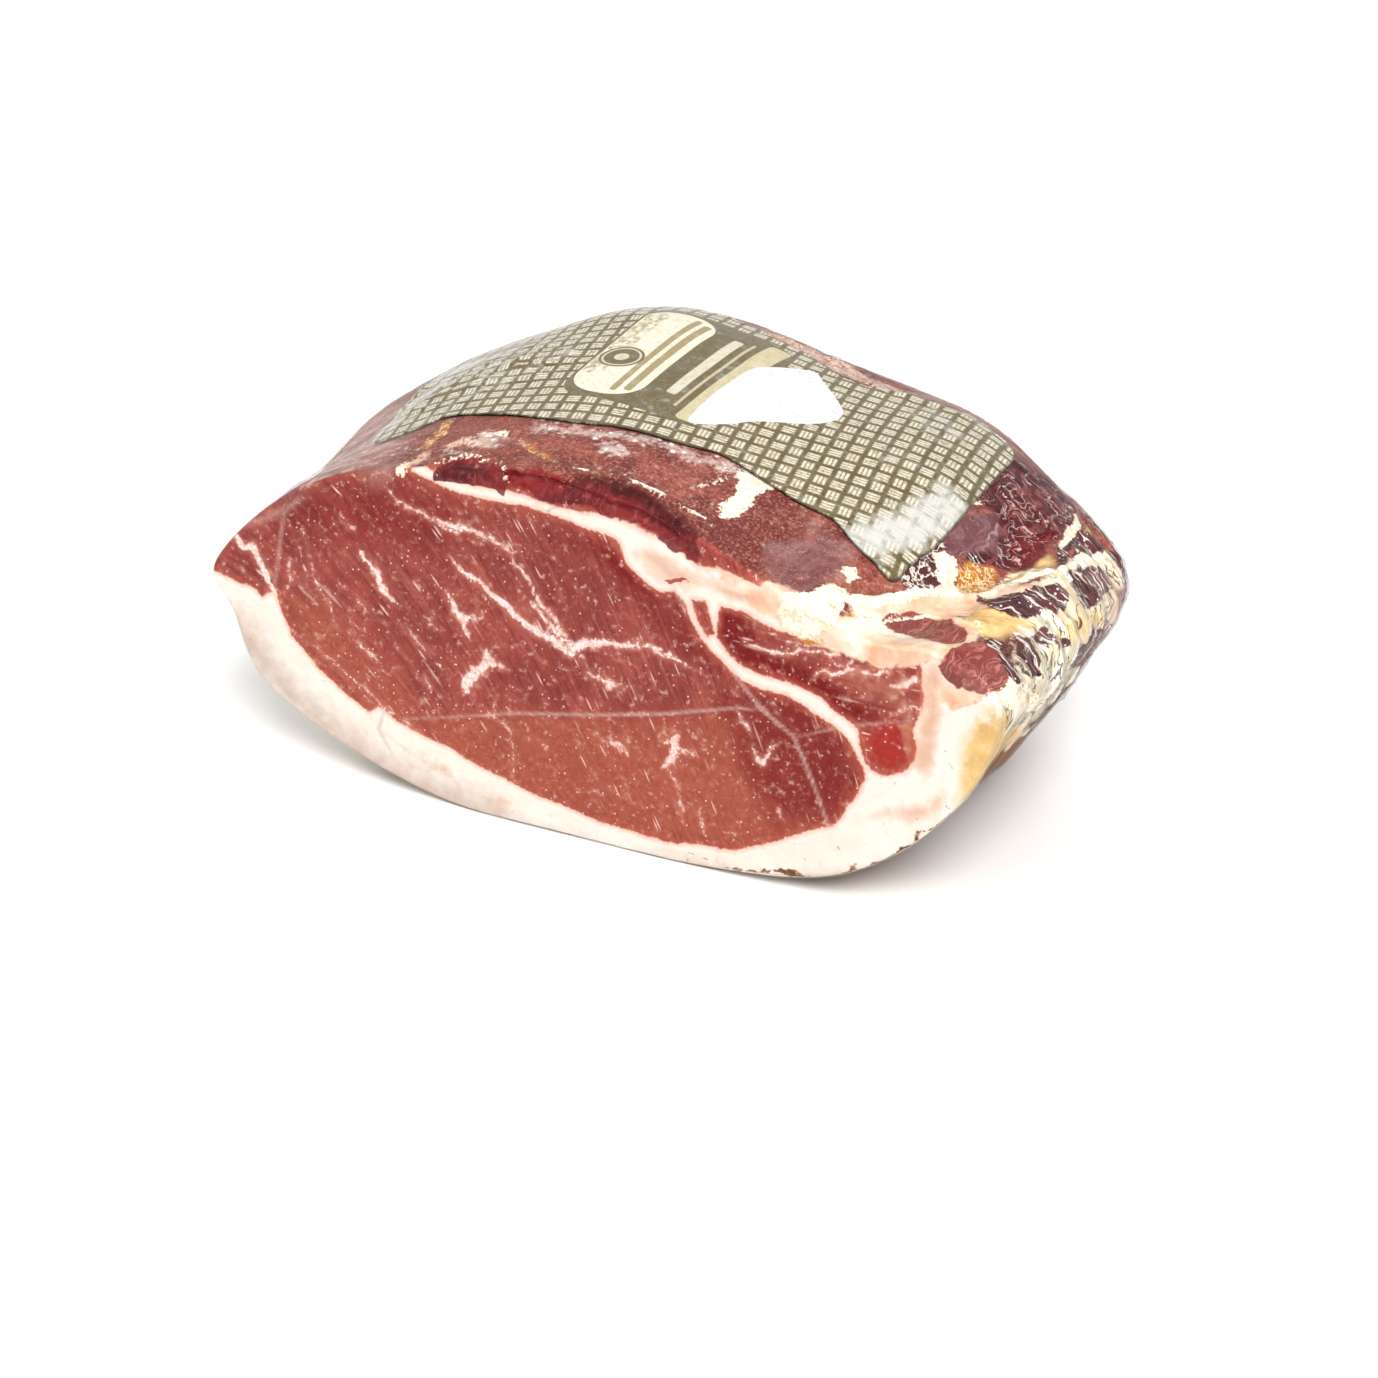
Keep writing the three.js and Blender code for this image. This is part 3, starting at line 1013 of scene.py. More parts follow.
@dataclass(frozen=True)
class CuredMeat:
    """Cured ham: smooth wet muscle where the knife went, dried skin and fat outside.

    Knife-cut lean is dark rose with darker fibre bundles and thin white fat lines; dried outer meat is
    browner and dusted with white; fat is cream, waxy and a little see-through.
    """

    name: str
    lean: str = "#A75045"
    dried: str = "#9A564A"
    dried_dark: str = "#743430"
    fat: str = "#F4EADC"
    roughness: float = 0.38
    soft_light: float = 0.15

    def skin_layers(self) -> tuple[Layer, ...]:
        """Gives what lies on the dried outer meat, from the lowest up: dust, pits and the fat cover.

        Returns:
            The layers.
        """
        return (
            Layer("broad", self.dried_dark, 0.3, 0.7, 0.9, 0.9, 8.0),
            Layer("", "#C99A8A", full=0.45, pattern=Pattern.GRAIN),
            Layer("", "#5C2224", full=0.5, pattern=Pattern.MARBLE),
            Layer("cover", self.fat, 0.35, 0.6, 1.0, 0.4, 2.2),
            Layer("cover", "#E6CDAF", 0.5, 1.0, 0.45, 0.4, 5.0, Pattern.BLOTCH),
            Layer("cover", "#D9AE98", 0.5, 1.0, 0.2, 0.4, 5.0, Pattern.MARBLE),
        )

    def build(self) -> Finish:
        """Builds the material.

        Returns:
            The finished material.
        """
        dye = Dye(self.name)
        outer = dye.lay(self.dried, self.skin_layers())
        sockets = {0: dye.field("cut"), 6: outer, 7: dye.lay(self.lean, LEAN_LAYERS)}
        both = dye.add("Mix", sockets, 2, data_type="RGBA")
        height = dye.add("Math", {0: dye.noise(1.0), 1: 0.5, 2: dye.noise(2.2)}, operation="MULTIPLY_ADD")
        bump = dye.add("Bump", {"Strength": 0.45, "Distance": 0.5 * MILLIMETRE, "Height": height})
        wet, dry = self.roughness - 0.08, self.roughness + 0.1
        sockets = {
            "Base Color": dye.lay(both, OUTER_LAYERS),
            "Roughness": dye.add("MapRange", {0: dye.noise(2.2), 1: 0.3, 2: 0.7, 3: wet, 4: dry}),
            "IOR": 1.42,
            "Specular IOR Level": 0.12,
            "Normal": bump,
            "Subsurface Weight": self.soft_light,
            "Subsurface Radius": (1.0, 0.35, 0.2),
            "Subsurface Scale": 0.0018,
        }
        return dye.surface("BsdfPrincipled", sockets)


FINISHES = {
    Node.FAT_CAP: CuredMeat("cured back fat, trimmed smooth", soft_light=0.3),
    Node.FAT_SEAM: CuredMeat("seam fat between muscles, soft and waxy", fat="#F9EBDF", soft_light=0.3),
    Node.LEAN_MAIN: CuredMeat("cured lean, knife cut and pressed under film"),
    Node.LEAN_SIDE: CuredMeat("cured lean, knife cut, bright and wet", roughness=0.3),
    Node.LEAN_TOP: CuredMeat("dried outer lean, knife trimmed and air cured"),
    Node.LEAN_SHANK: CuredMeat("dried shank lean, pressed into folds", dried="#6E3A36", dried_dark="#4A2324"),
}


# How the muscles part the cut face, by across and up; past the rim an outline only has to clear it.
MUSCLES: dict[Node, Path] = {
    Node.LEAN_MAIN: (
        (-40, 70), (-40, -30), (110, -40), (212, -30), (213, 10), (216, 24), (226, 38), (226, 47), (214, 59),
        (199, 65), (184, 69), (173, 80), (162, 89), (149, 97), (139, 102), (122, 105), (102, 105.5),
        (87, 106.5), (75, 110), (62, 150), (-30, 150),
    ),
    Node.LEAN_SIDE: (
        (176, 80), (176, 86), (181, 88.5), (190, 85.5), (207, 84.5), (223, 85.5), (240, 86.5), (245, 83),
        (246, 74), (244, 63), (239, 50), (233, 46), (225, 53), (221, 60), (205, 67), (186, 72),
    ),
    Node.LEAN_TOP: (
        (80, 115), (92, 110.5), (109, 110.5), (124, 110), (145, 107), (157, 104.5), (177, 98), (190, 95.5),
        (208, 92.5), (230, 91.5), (248, 94), (268, 102), (262, 160), (120, 180), (67, 160),
    ),
    Node.LEAN_SHANK: (
        (243, 34), (243, 44), (247, 56), (250.5, 67), (250, 77), (247.5, 86), (252, 90.5), (270, 91),
        (300, 92), (310, 60), (300, 20), (262, 14), (247, 24),
    ),
}


@dataclass
class CutFace:
    """The knife-cut face: its muscles' outlines, marbling, dents and tone, placed by across and up."""

    pitch: float = 0.62
    left: float = -12.0
    right: float = 283.0
    low: float = -7.0
    high: float = 137.0
    far_back: float = 6000.0  # where the trimming block's sides meet
    behind: float = 0.3  # the meat lies about this far behind the cut plane
    uneven: tuple[Bumps, ...] = (Bumps(24.0, 0.25, 3), Bumps(6.0, 0.1, 4), Bumps(2.2, 0.05, 5))
    tearing: tuple[Bumps, ...] = (Bumps(6.0, 0.8, 51), Bumps(2.4, 0.6, 61), Bumps(1.2, 0.4, 71))
    muscles: dict[Node, Path] = field(default_factory=lambda: MUSCLES)
    lean_main: Path = (
        (-10, 63), (2, 61), (9, 59.5), (14.5, 59), (17, 56.5), (21.5, 60), (24.5, 52.5), (27.5, 45.5),
        (33, 40.5), (37, 36), (41.5, 33), (47, 29), (54.5, 25.5), (58, 28), (64.5, 25), (75.5, 21.5),
        (84.5, 19.5), (93, 16), (104, 13.5), (114.5, 11), (125, 9.5), (136.5, 7), (145.5, 7), (152.5, 6),
        (159.5, 6), (171.5, 8), (181, 8.5), (189, 12), (197.5, 16), (205.5, 21), (214, 25), (216.5, 27.5),
        (219.5, 33), (223, 38.5), (225, 43.5), (224.5, 46), (221.5, 50.5), (219, 54.5), (215, 58),
        (210, 59.5), (205, 62), (200, 64), (191.5, 64.5), (185, 66), (180, 69), (175, 72.5), (171.5, 76),
        (168.5, 80), (166, 86), (162.5, 89.5), (157.5, 88), (151.5, 90.5), (146, 95.5), (144, 101),
        (141, 103), (133, 103.5), (122.5, 105.5), (112, 106.5), (102, 105.5), (91, 106), (81, 107.5),
        (73, 110), (66, 122), (-10, 122),
    )
    lean_lip: Path = (
        (78.5, 112.5), (85, 110.5), (95.5, 109.5), (104, 110.5), (112.5, 110), (123, 108.5), (131, 108.5),
        (137, 109.5), (144, 108.5), (152.5, 106.5), (162.5, 105), (170, 99.5), (177, 100), (190, 97),
        (196, 96), (200, 110), (120, 130), (80, 125),
    )
    lean_side: Path = (
        (177.5, 88), (176.5, 83.5), (176.5, 78), (180, 74), (185, 70), (191.5, 69), (198.5, 69), (205, 67.5),
        (211, 66), (215, 62.5), (220, 60.5), (222.5, 58.5), (223, 54), (225, 48.5), (228, 46), (232.5, 46),
        (237.5, 48.5), (240.5, 53), (241, 58), (239.5, 62.5), (241.5, 67.5), (243, 73.5), (242, 79.5),
        (241, 86), (240, 88.5), (229, 87), (213, 84.5), (205, 84), (196.5, 84), (190, 86), (185, 88),
    )
    lean_slip: Path = ((168, 88), (172.5, 88.5), (174.5, 82.5), (175.5, 79), (173, 77.5), (169, 83.5))
    veins: Marks = (
        Line(((64, 103), (70, 97), (76, 97), (82, 94), (88, 93), (95, 95)), 0.6, 0.6, 0.8),
        Line(((72, 97), (82, 95), (92, 95), (100, 94), (106, 92)), 1.0, 1.2, 0.8),
        Line(((95, 95), (100, 93), (108, 91), (108, 88), (114, 80)), 0.6, 0.7, 0.75),
        Line(((112, 84), (117, 76), (123, 70), (128, 64)), 0.8, 0.9, 0.8),
        Line(((85, 84), (96, 78), (105, 73), (112, 68), (119, 65), (127, 63)), 1.1, 0.9, 1.0),
        Line(((112, 69), (118, 66), (127, 62), (133, 66), (142, 68), (158, 70)), 1.3, 1.2, 0.95),
        Line(((114, 76), (120, 69), (129, 64), (131, 60)), 1.0, 1.1, 0.85),
        Line(((8, 75), (10, 72), (14, 73), (16, 68), (20, 62), (22, 57)), 0.9, 0.7, 1.0, False),
        Line(((33, 82), (38, 65), (45, 52)), 0.4, 0.6, 0.65),
        Line(((28, 86), (33, 70), (36, 60)), 0.3, 0.5, 0.5),
        Line(((47, 91), (52, 86)), 0.4, 0.5, 0.6),
        Line(((54, 80), (60, 74), (62, 69), (66, 65)), 0.9, 0.8, 1.0),
        Line(((27, 72), (28, 64), (26, 61)), 0.5, 0.6, 0.65),
        Line(((52, 63), (56, 60)), 0.5, 0.6, 0.7),
        Line(((51, 49), (59, 44)), 0.5, 0.6, 0.75),
        Line(((69, 58), (78, 49)), 0.5, 0.6, 0.75),
        Line(((76, 62), (82, 58)), 0.4, 0.5, 0.65),
        Line(((79, 48), (83, 46)), 0.5, 0.5, 0.65),
        Line(((76, 42), (78, 37)), 0.5, 0.6, 0.65),
        Line(((28, 48), (41, 41), (51, 35), (60, 29), (73, 23)), 0.35, 0.5, 0.65),
        Line(((84, 73), (88, 67), (90, 63), (92, 59)), 1.3, 1.0, 0.85),
        Line(((86, 66), (91, 65), (96, 67)), 0.9, 1.0, 0.75),
        Line(((98, 56), (99, 52), (94, 48), (91, 43), (90, 39)), 1.6, 1.1, 0.9),
        Line(((94, 50), (101, 52), (105, 51)), 0.7, 0.8, 0.7),
        Line(((91, 39), (98, 35), (106, 31), (107, 24), (106, 16)), 0.3, 0.5, 0.6),
        Line(((133, 56), (139, 54), (144, 56)), 1.2, 0.9, 0.8),
        Line(((139, 59), (140, 52)), 0.7, 0.8, 0.6),
        Line(((150, 70), (160, 68), (170, 66)), 0.7, 0.7, 0.8),
        Line(((163, 43), (162, 36), (159, 31)), 1.5, 1.1, 0.85),
        Line(((157, 40), (163, 39), (170, 37)), 0.9, 0.9, 0.7),
        Line(((160, 31), (164, 26), (165, 18)), 0.5, 0.7, 0.6),
        Line(((171, 20), (172, 13)), 0.5, 0.6, 0.65),
        Line(((184, 58), (186, 53), (188, 50)), 0.8, 0.7, 0.75),
        Line(((188, 46), (191, 40), (196, 48)), 0.7, 0.7, 0.8),
        Line(((137, 36), (143, 35), (147, 32)), 0.6, 0.7, 0.7),
        Line(((114, 31), (119, 27)), 0.4, 0.6, 0.6),
        Line(((133, 19), (135, 16)), 0.4, 0.6, 0.6),
        Line(((196, 26), (199, 22)), 0.4, 0.6, 0.6),
        Line(((185, 78), (193, 77), (199, 78), (205, 80), (212, 80), (216, 82)), 0.6, 0.6, 0.9),
        Line(((209, 73), (216, 76), (223, 78)), 0.7, 0.6, 0.9),
        Line(((221, 77), (227, 77), (233, 80)), 0.5, 0.6, 0.8),
        Line(((212, 79), (217, 78), (221, 80)), 0.4, 0.5, 0.7),
        Line(((190, 83), (206, 82), (226, 84), (238, 86)), 0.4, 0.6, 0.6),
        Line(((232, 74), (237, 77), (242, 79)), 1.2, 1.0, 0.8),
        Line(((232, 64), (238, 70), (242, 70)), 0.8, 1.6, 0.55),
    )
    warm: Marks = (
        Patch(((60, 26), (110, 38), (158, 49), (191, 57), (206, 42), (214, 24), (190, 10), (150, 5),
               (90, 16)), 7.0, 0.9),
        Patch(((22, 58), (40, 60), (62, 40), (80, 24), (56, 24), (34, 38)), 6.0, 0.8),
    )
    crimson: Marks = (
        Line(((122, 99), (140, 95), (152, 86), (162, 79), (173, 70), (184, 64)), 5.0, 5.0, 0.5),
        Line(((136, 99), (147, 92), (155, 86)), 3.0, 4.0, 1.0),
        Patch(((184, 66), (204, 63), (218, 54), (222, 44), (212, 44), (200, 54)), 4.0, 0.7),
        Patch(((80, 104), (104, 102), (130, 101), (140, 97), (122, 95), (100, 98), (84, 101)), 3.5, 0.25),
        Line(((178, 86), (179, 80), (185, 74), (197, 71), (209, 69), (219, 64), (226, 64)), 5.6, 4.5, 1.0),
        Patch(((79, 113), (105, 111), (135, 110.5), (160, 107), (172, 101), (160, 125),
               (90, 128)), 1.2, 0.95),
        Patch(((24, 92), (60, 108), (88, 104), (92, 92), (70, 82), (40, 80), (20, 78)), 9.0, 0.55),
        Patch(((178, 60), (214, 56), (224, 42), (214, 27), (196, 20), (184, 36)), 7.0, 0.7),
        Patch(((176, 88), (186, 86), (192, 78), (186, 71), (177, 76)), 3.0, 1.0),
    )
    orange: Marks = (
        Patch(((224, 57), (233, 65), (240, 62), (240, 54), (234, 47), (227, 48)), 6.0, 0.95),
        Line(((186, 71), (200, 70), (212, 66)), 0.8, 1.6, 0.6),
    )
    blush: Marks = (
        Patch(((200, 80), (216, 83), (238, 84), (240, 66), (226, 66), (212, 72)), 5.0, 0.3),
        Line(((239, 70), (238, 61), (239, 52)), 1.4, 3.4, 0.75),
        Line(((243, 52), (245, 66), (246, 82)), 3.0, 3.0, 0.9, False),
        Line(((170, 96), (182, 93), (194, 91), (206, 90)), 3.0, 4.0, 0.8),
        Line(((70, 17), (80, 12), (86, 8)), 2.0, 3.0, 0.5),
        Line(((96, 5), (106, 6)), 1.5, 2.0, 0.5),
        Line(((228, 32), (238, 35), (246, 38), (250, 44)), 2.6, 4.0, 0.8),
        Patch(((147, 99), (155, 102), (166, 98), (174, 94), (166, 90), (158, 91)), 2.5, 0.7),
    )
    slit: Marks = (Line(((158, 92), (162, 93.5), (167, 94)), 0.6, 0.6),)
    # painted shade: darker towards the cut face's lower edge
    dull: Marks = (
        Line(((6, 44), (26, 24), (46, 12), (70, 4), (100, 0)), 5.0, 9.0, 0.85, False),
        Line(((60, 26), (58, 20), (63, 12)), 0.5, 1.2, 0.9),
        Line(((58, 20), (76, 12), (92, 8)), 1.0, 3.0, 0.5),
        Line(((100, 0), (140, -2), (190, 1), (226, 10)), 1.5, 6.0, 0.75, False),
    )
    dents: Marks = (
        Line(((82, 115), (96, 115)), 2.0, 2.0, 2.4),
        Line(((104, 114.5), (122, 114.5), (138, 113)), 2.4, 2.2, 3.4),
        Line(((140, 112), (152, 110), (162, 107)), 2.2, 2.0, 3.0),
        Line(((150, 100), (160, 94), (166, 93)), 1.6, 2.0, 0.7),
        Line(((176, 92), (200, 89), (226, 88)), 1.6, 2.0, 0.8),
    )

    def block(
        self, name: str, setback: Array, points: Array, shape: tuple[int, int]
    ) -> Solid:
        """Makes the solid whose dense front trims the ham at its cut face.

        Args:
            name: the object's name.
            setback: depth of each front point in mm.
            points: across and up of each front point.
            shape: how many points across and up.

        Returns:
            The solid's object.
        """
        across, up = shape
        front = np.stack([points[:, 0], setback, points[:, 1]], 1)
        number = np.arange(across * up).reshape(across, up)
        corners = (number[:-1, :-1], number[1:, :-1], number[1:, 1:], number[:-1, 1:])
        quads = np.stack(corners, -1).reshape(-1, 4)
        border = np.concatenate([number[:, 0], number[-1, 1:], number[-2::-1, -1], number[0, -2:0:-1]])
        sides = np.stack([np.roll(border, -1), border, np.full(len(border), across * up)], -1)
        far = np.array([[0.5 * (self.left + self.right), self.far_back, 0.5 * (self.low + self.high)]])
        return Workshop.mesh_object(name, np.concatenate([front, far]), [quads, sides])

    def grid(self, pitch: float) -> tuple[Array, tuple[int, int]]:
        """Lays out the front points.

        Args:
            pitch: distance between them in mm.

        Returns:
            Across and up of each point, and how many run each way.
        """
        across = np.arange(self.left, self.right, pitch)
        up = np.arange(self.low, self.high, pitch)
        pairs = np.stack(np.meshgrid(across, up, indexing="ij"), -1).reshape(-1, 2)
        return pairs, (len(across), len(up))

    def setback(self, points: Array) -> Array:
        """Says how far the meat lies behind the cut plane at each across and up, in mm."""
        space = np.insert(points, 1, 0.0, axis=1)
        return self.behind + sum(bumps.at(space) for bumps in self.uneven) + painted(self.dents, points)

    def fields(self, points: Array) -> dict[str, Array]:
        """Paints the cut face's fields.

        Args:
            points: places in mm, one row of three each.

        Returns:
            The fields by name.
        """
        flat = points[:, [0, 2]]
        space = flat[:, [0, 0, 1]] * np.array([1, 0, 1])
        warp = stray(space, self.tearing)
        torn = flat + warp
        halo = tuple(replace(line, reach=line.reach + 0.6, soft=2.6) for line in self.veins)
        side = signed_distance(flat, np.array(self.lean_side, float))
        lean = np.minimum(side, signed_distance(flat, np.array(self.lean_main, float)))
        for outline in (self.lean_lip, self.lean_slip):
            lean = np.minimum(lean, signed_distance(flat, np.array(outline, float)))
        in_side = smooth_step(side, 2.0, -1.0)
        bent = (flat[:, 1] + 0.3 * flat[:, 0] + 0.00575 * flat[:, 0] ** 2) / 1.5
        return {
            "fat": np.clip(lean + 0.3 * warp[:, 0], -9, 9),
            "vein": painted(self.veins, torn),
            "halo": painted(halo, torn),
            "warm": painted(self.warm, flat),
            "crimson": painted(self.crimson, flat),
            "orange": painted(self.orange, flat),
            "blush": painted(self.blush, flat),
            "slit": painted(self.slit, torn),
            "dull": painted(self.dull, flat),
            "fibre_u": (0.6 * flat[:, 0] - 0.8 * flat[:, 1]) * (1 - in_side) + flat[:, 0] * in_side,
            "fibre_v": bent * (1 - in_side) + flat[:, 1] * in_side,
        }


# Outlines that several marks share, by girth and depth.
FAT_DROP: Path = ((220, 18), (223, 21), (226, 19), (225, 16))
# outlines of painted film glare, used on the meat and in the film
GLARE_FOLD: Path = (
    (198, 13), (206, 21), (210, 25), (216, 28), (220, 27), (222, 18), (221, 9), (220, 0), (215, 1), (206, 5),
)
GLARE_SPOT: Path = ((229, 59), (231, 69), (235, 83), (241, 68), (237, 55), (235, 52), (232, 50))
ROSE_POCKET: Path = ((239, 14), (242, 25), (255, 25), (265, 19), (268, 13), (264, 7), (252, 11), (243, 13))
CRUST_RIDGE: Path = ((140, 132), (156, 130), (172, 132), (184, 125), (197, 122), (209, 122), (224, 118))


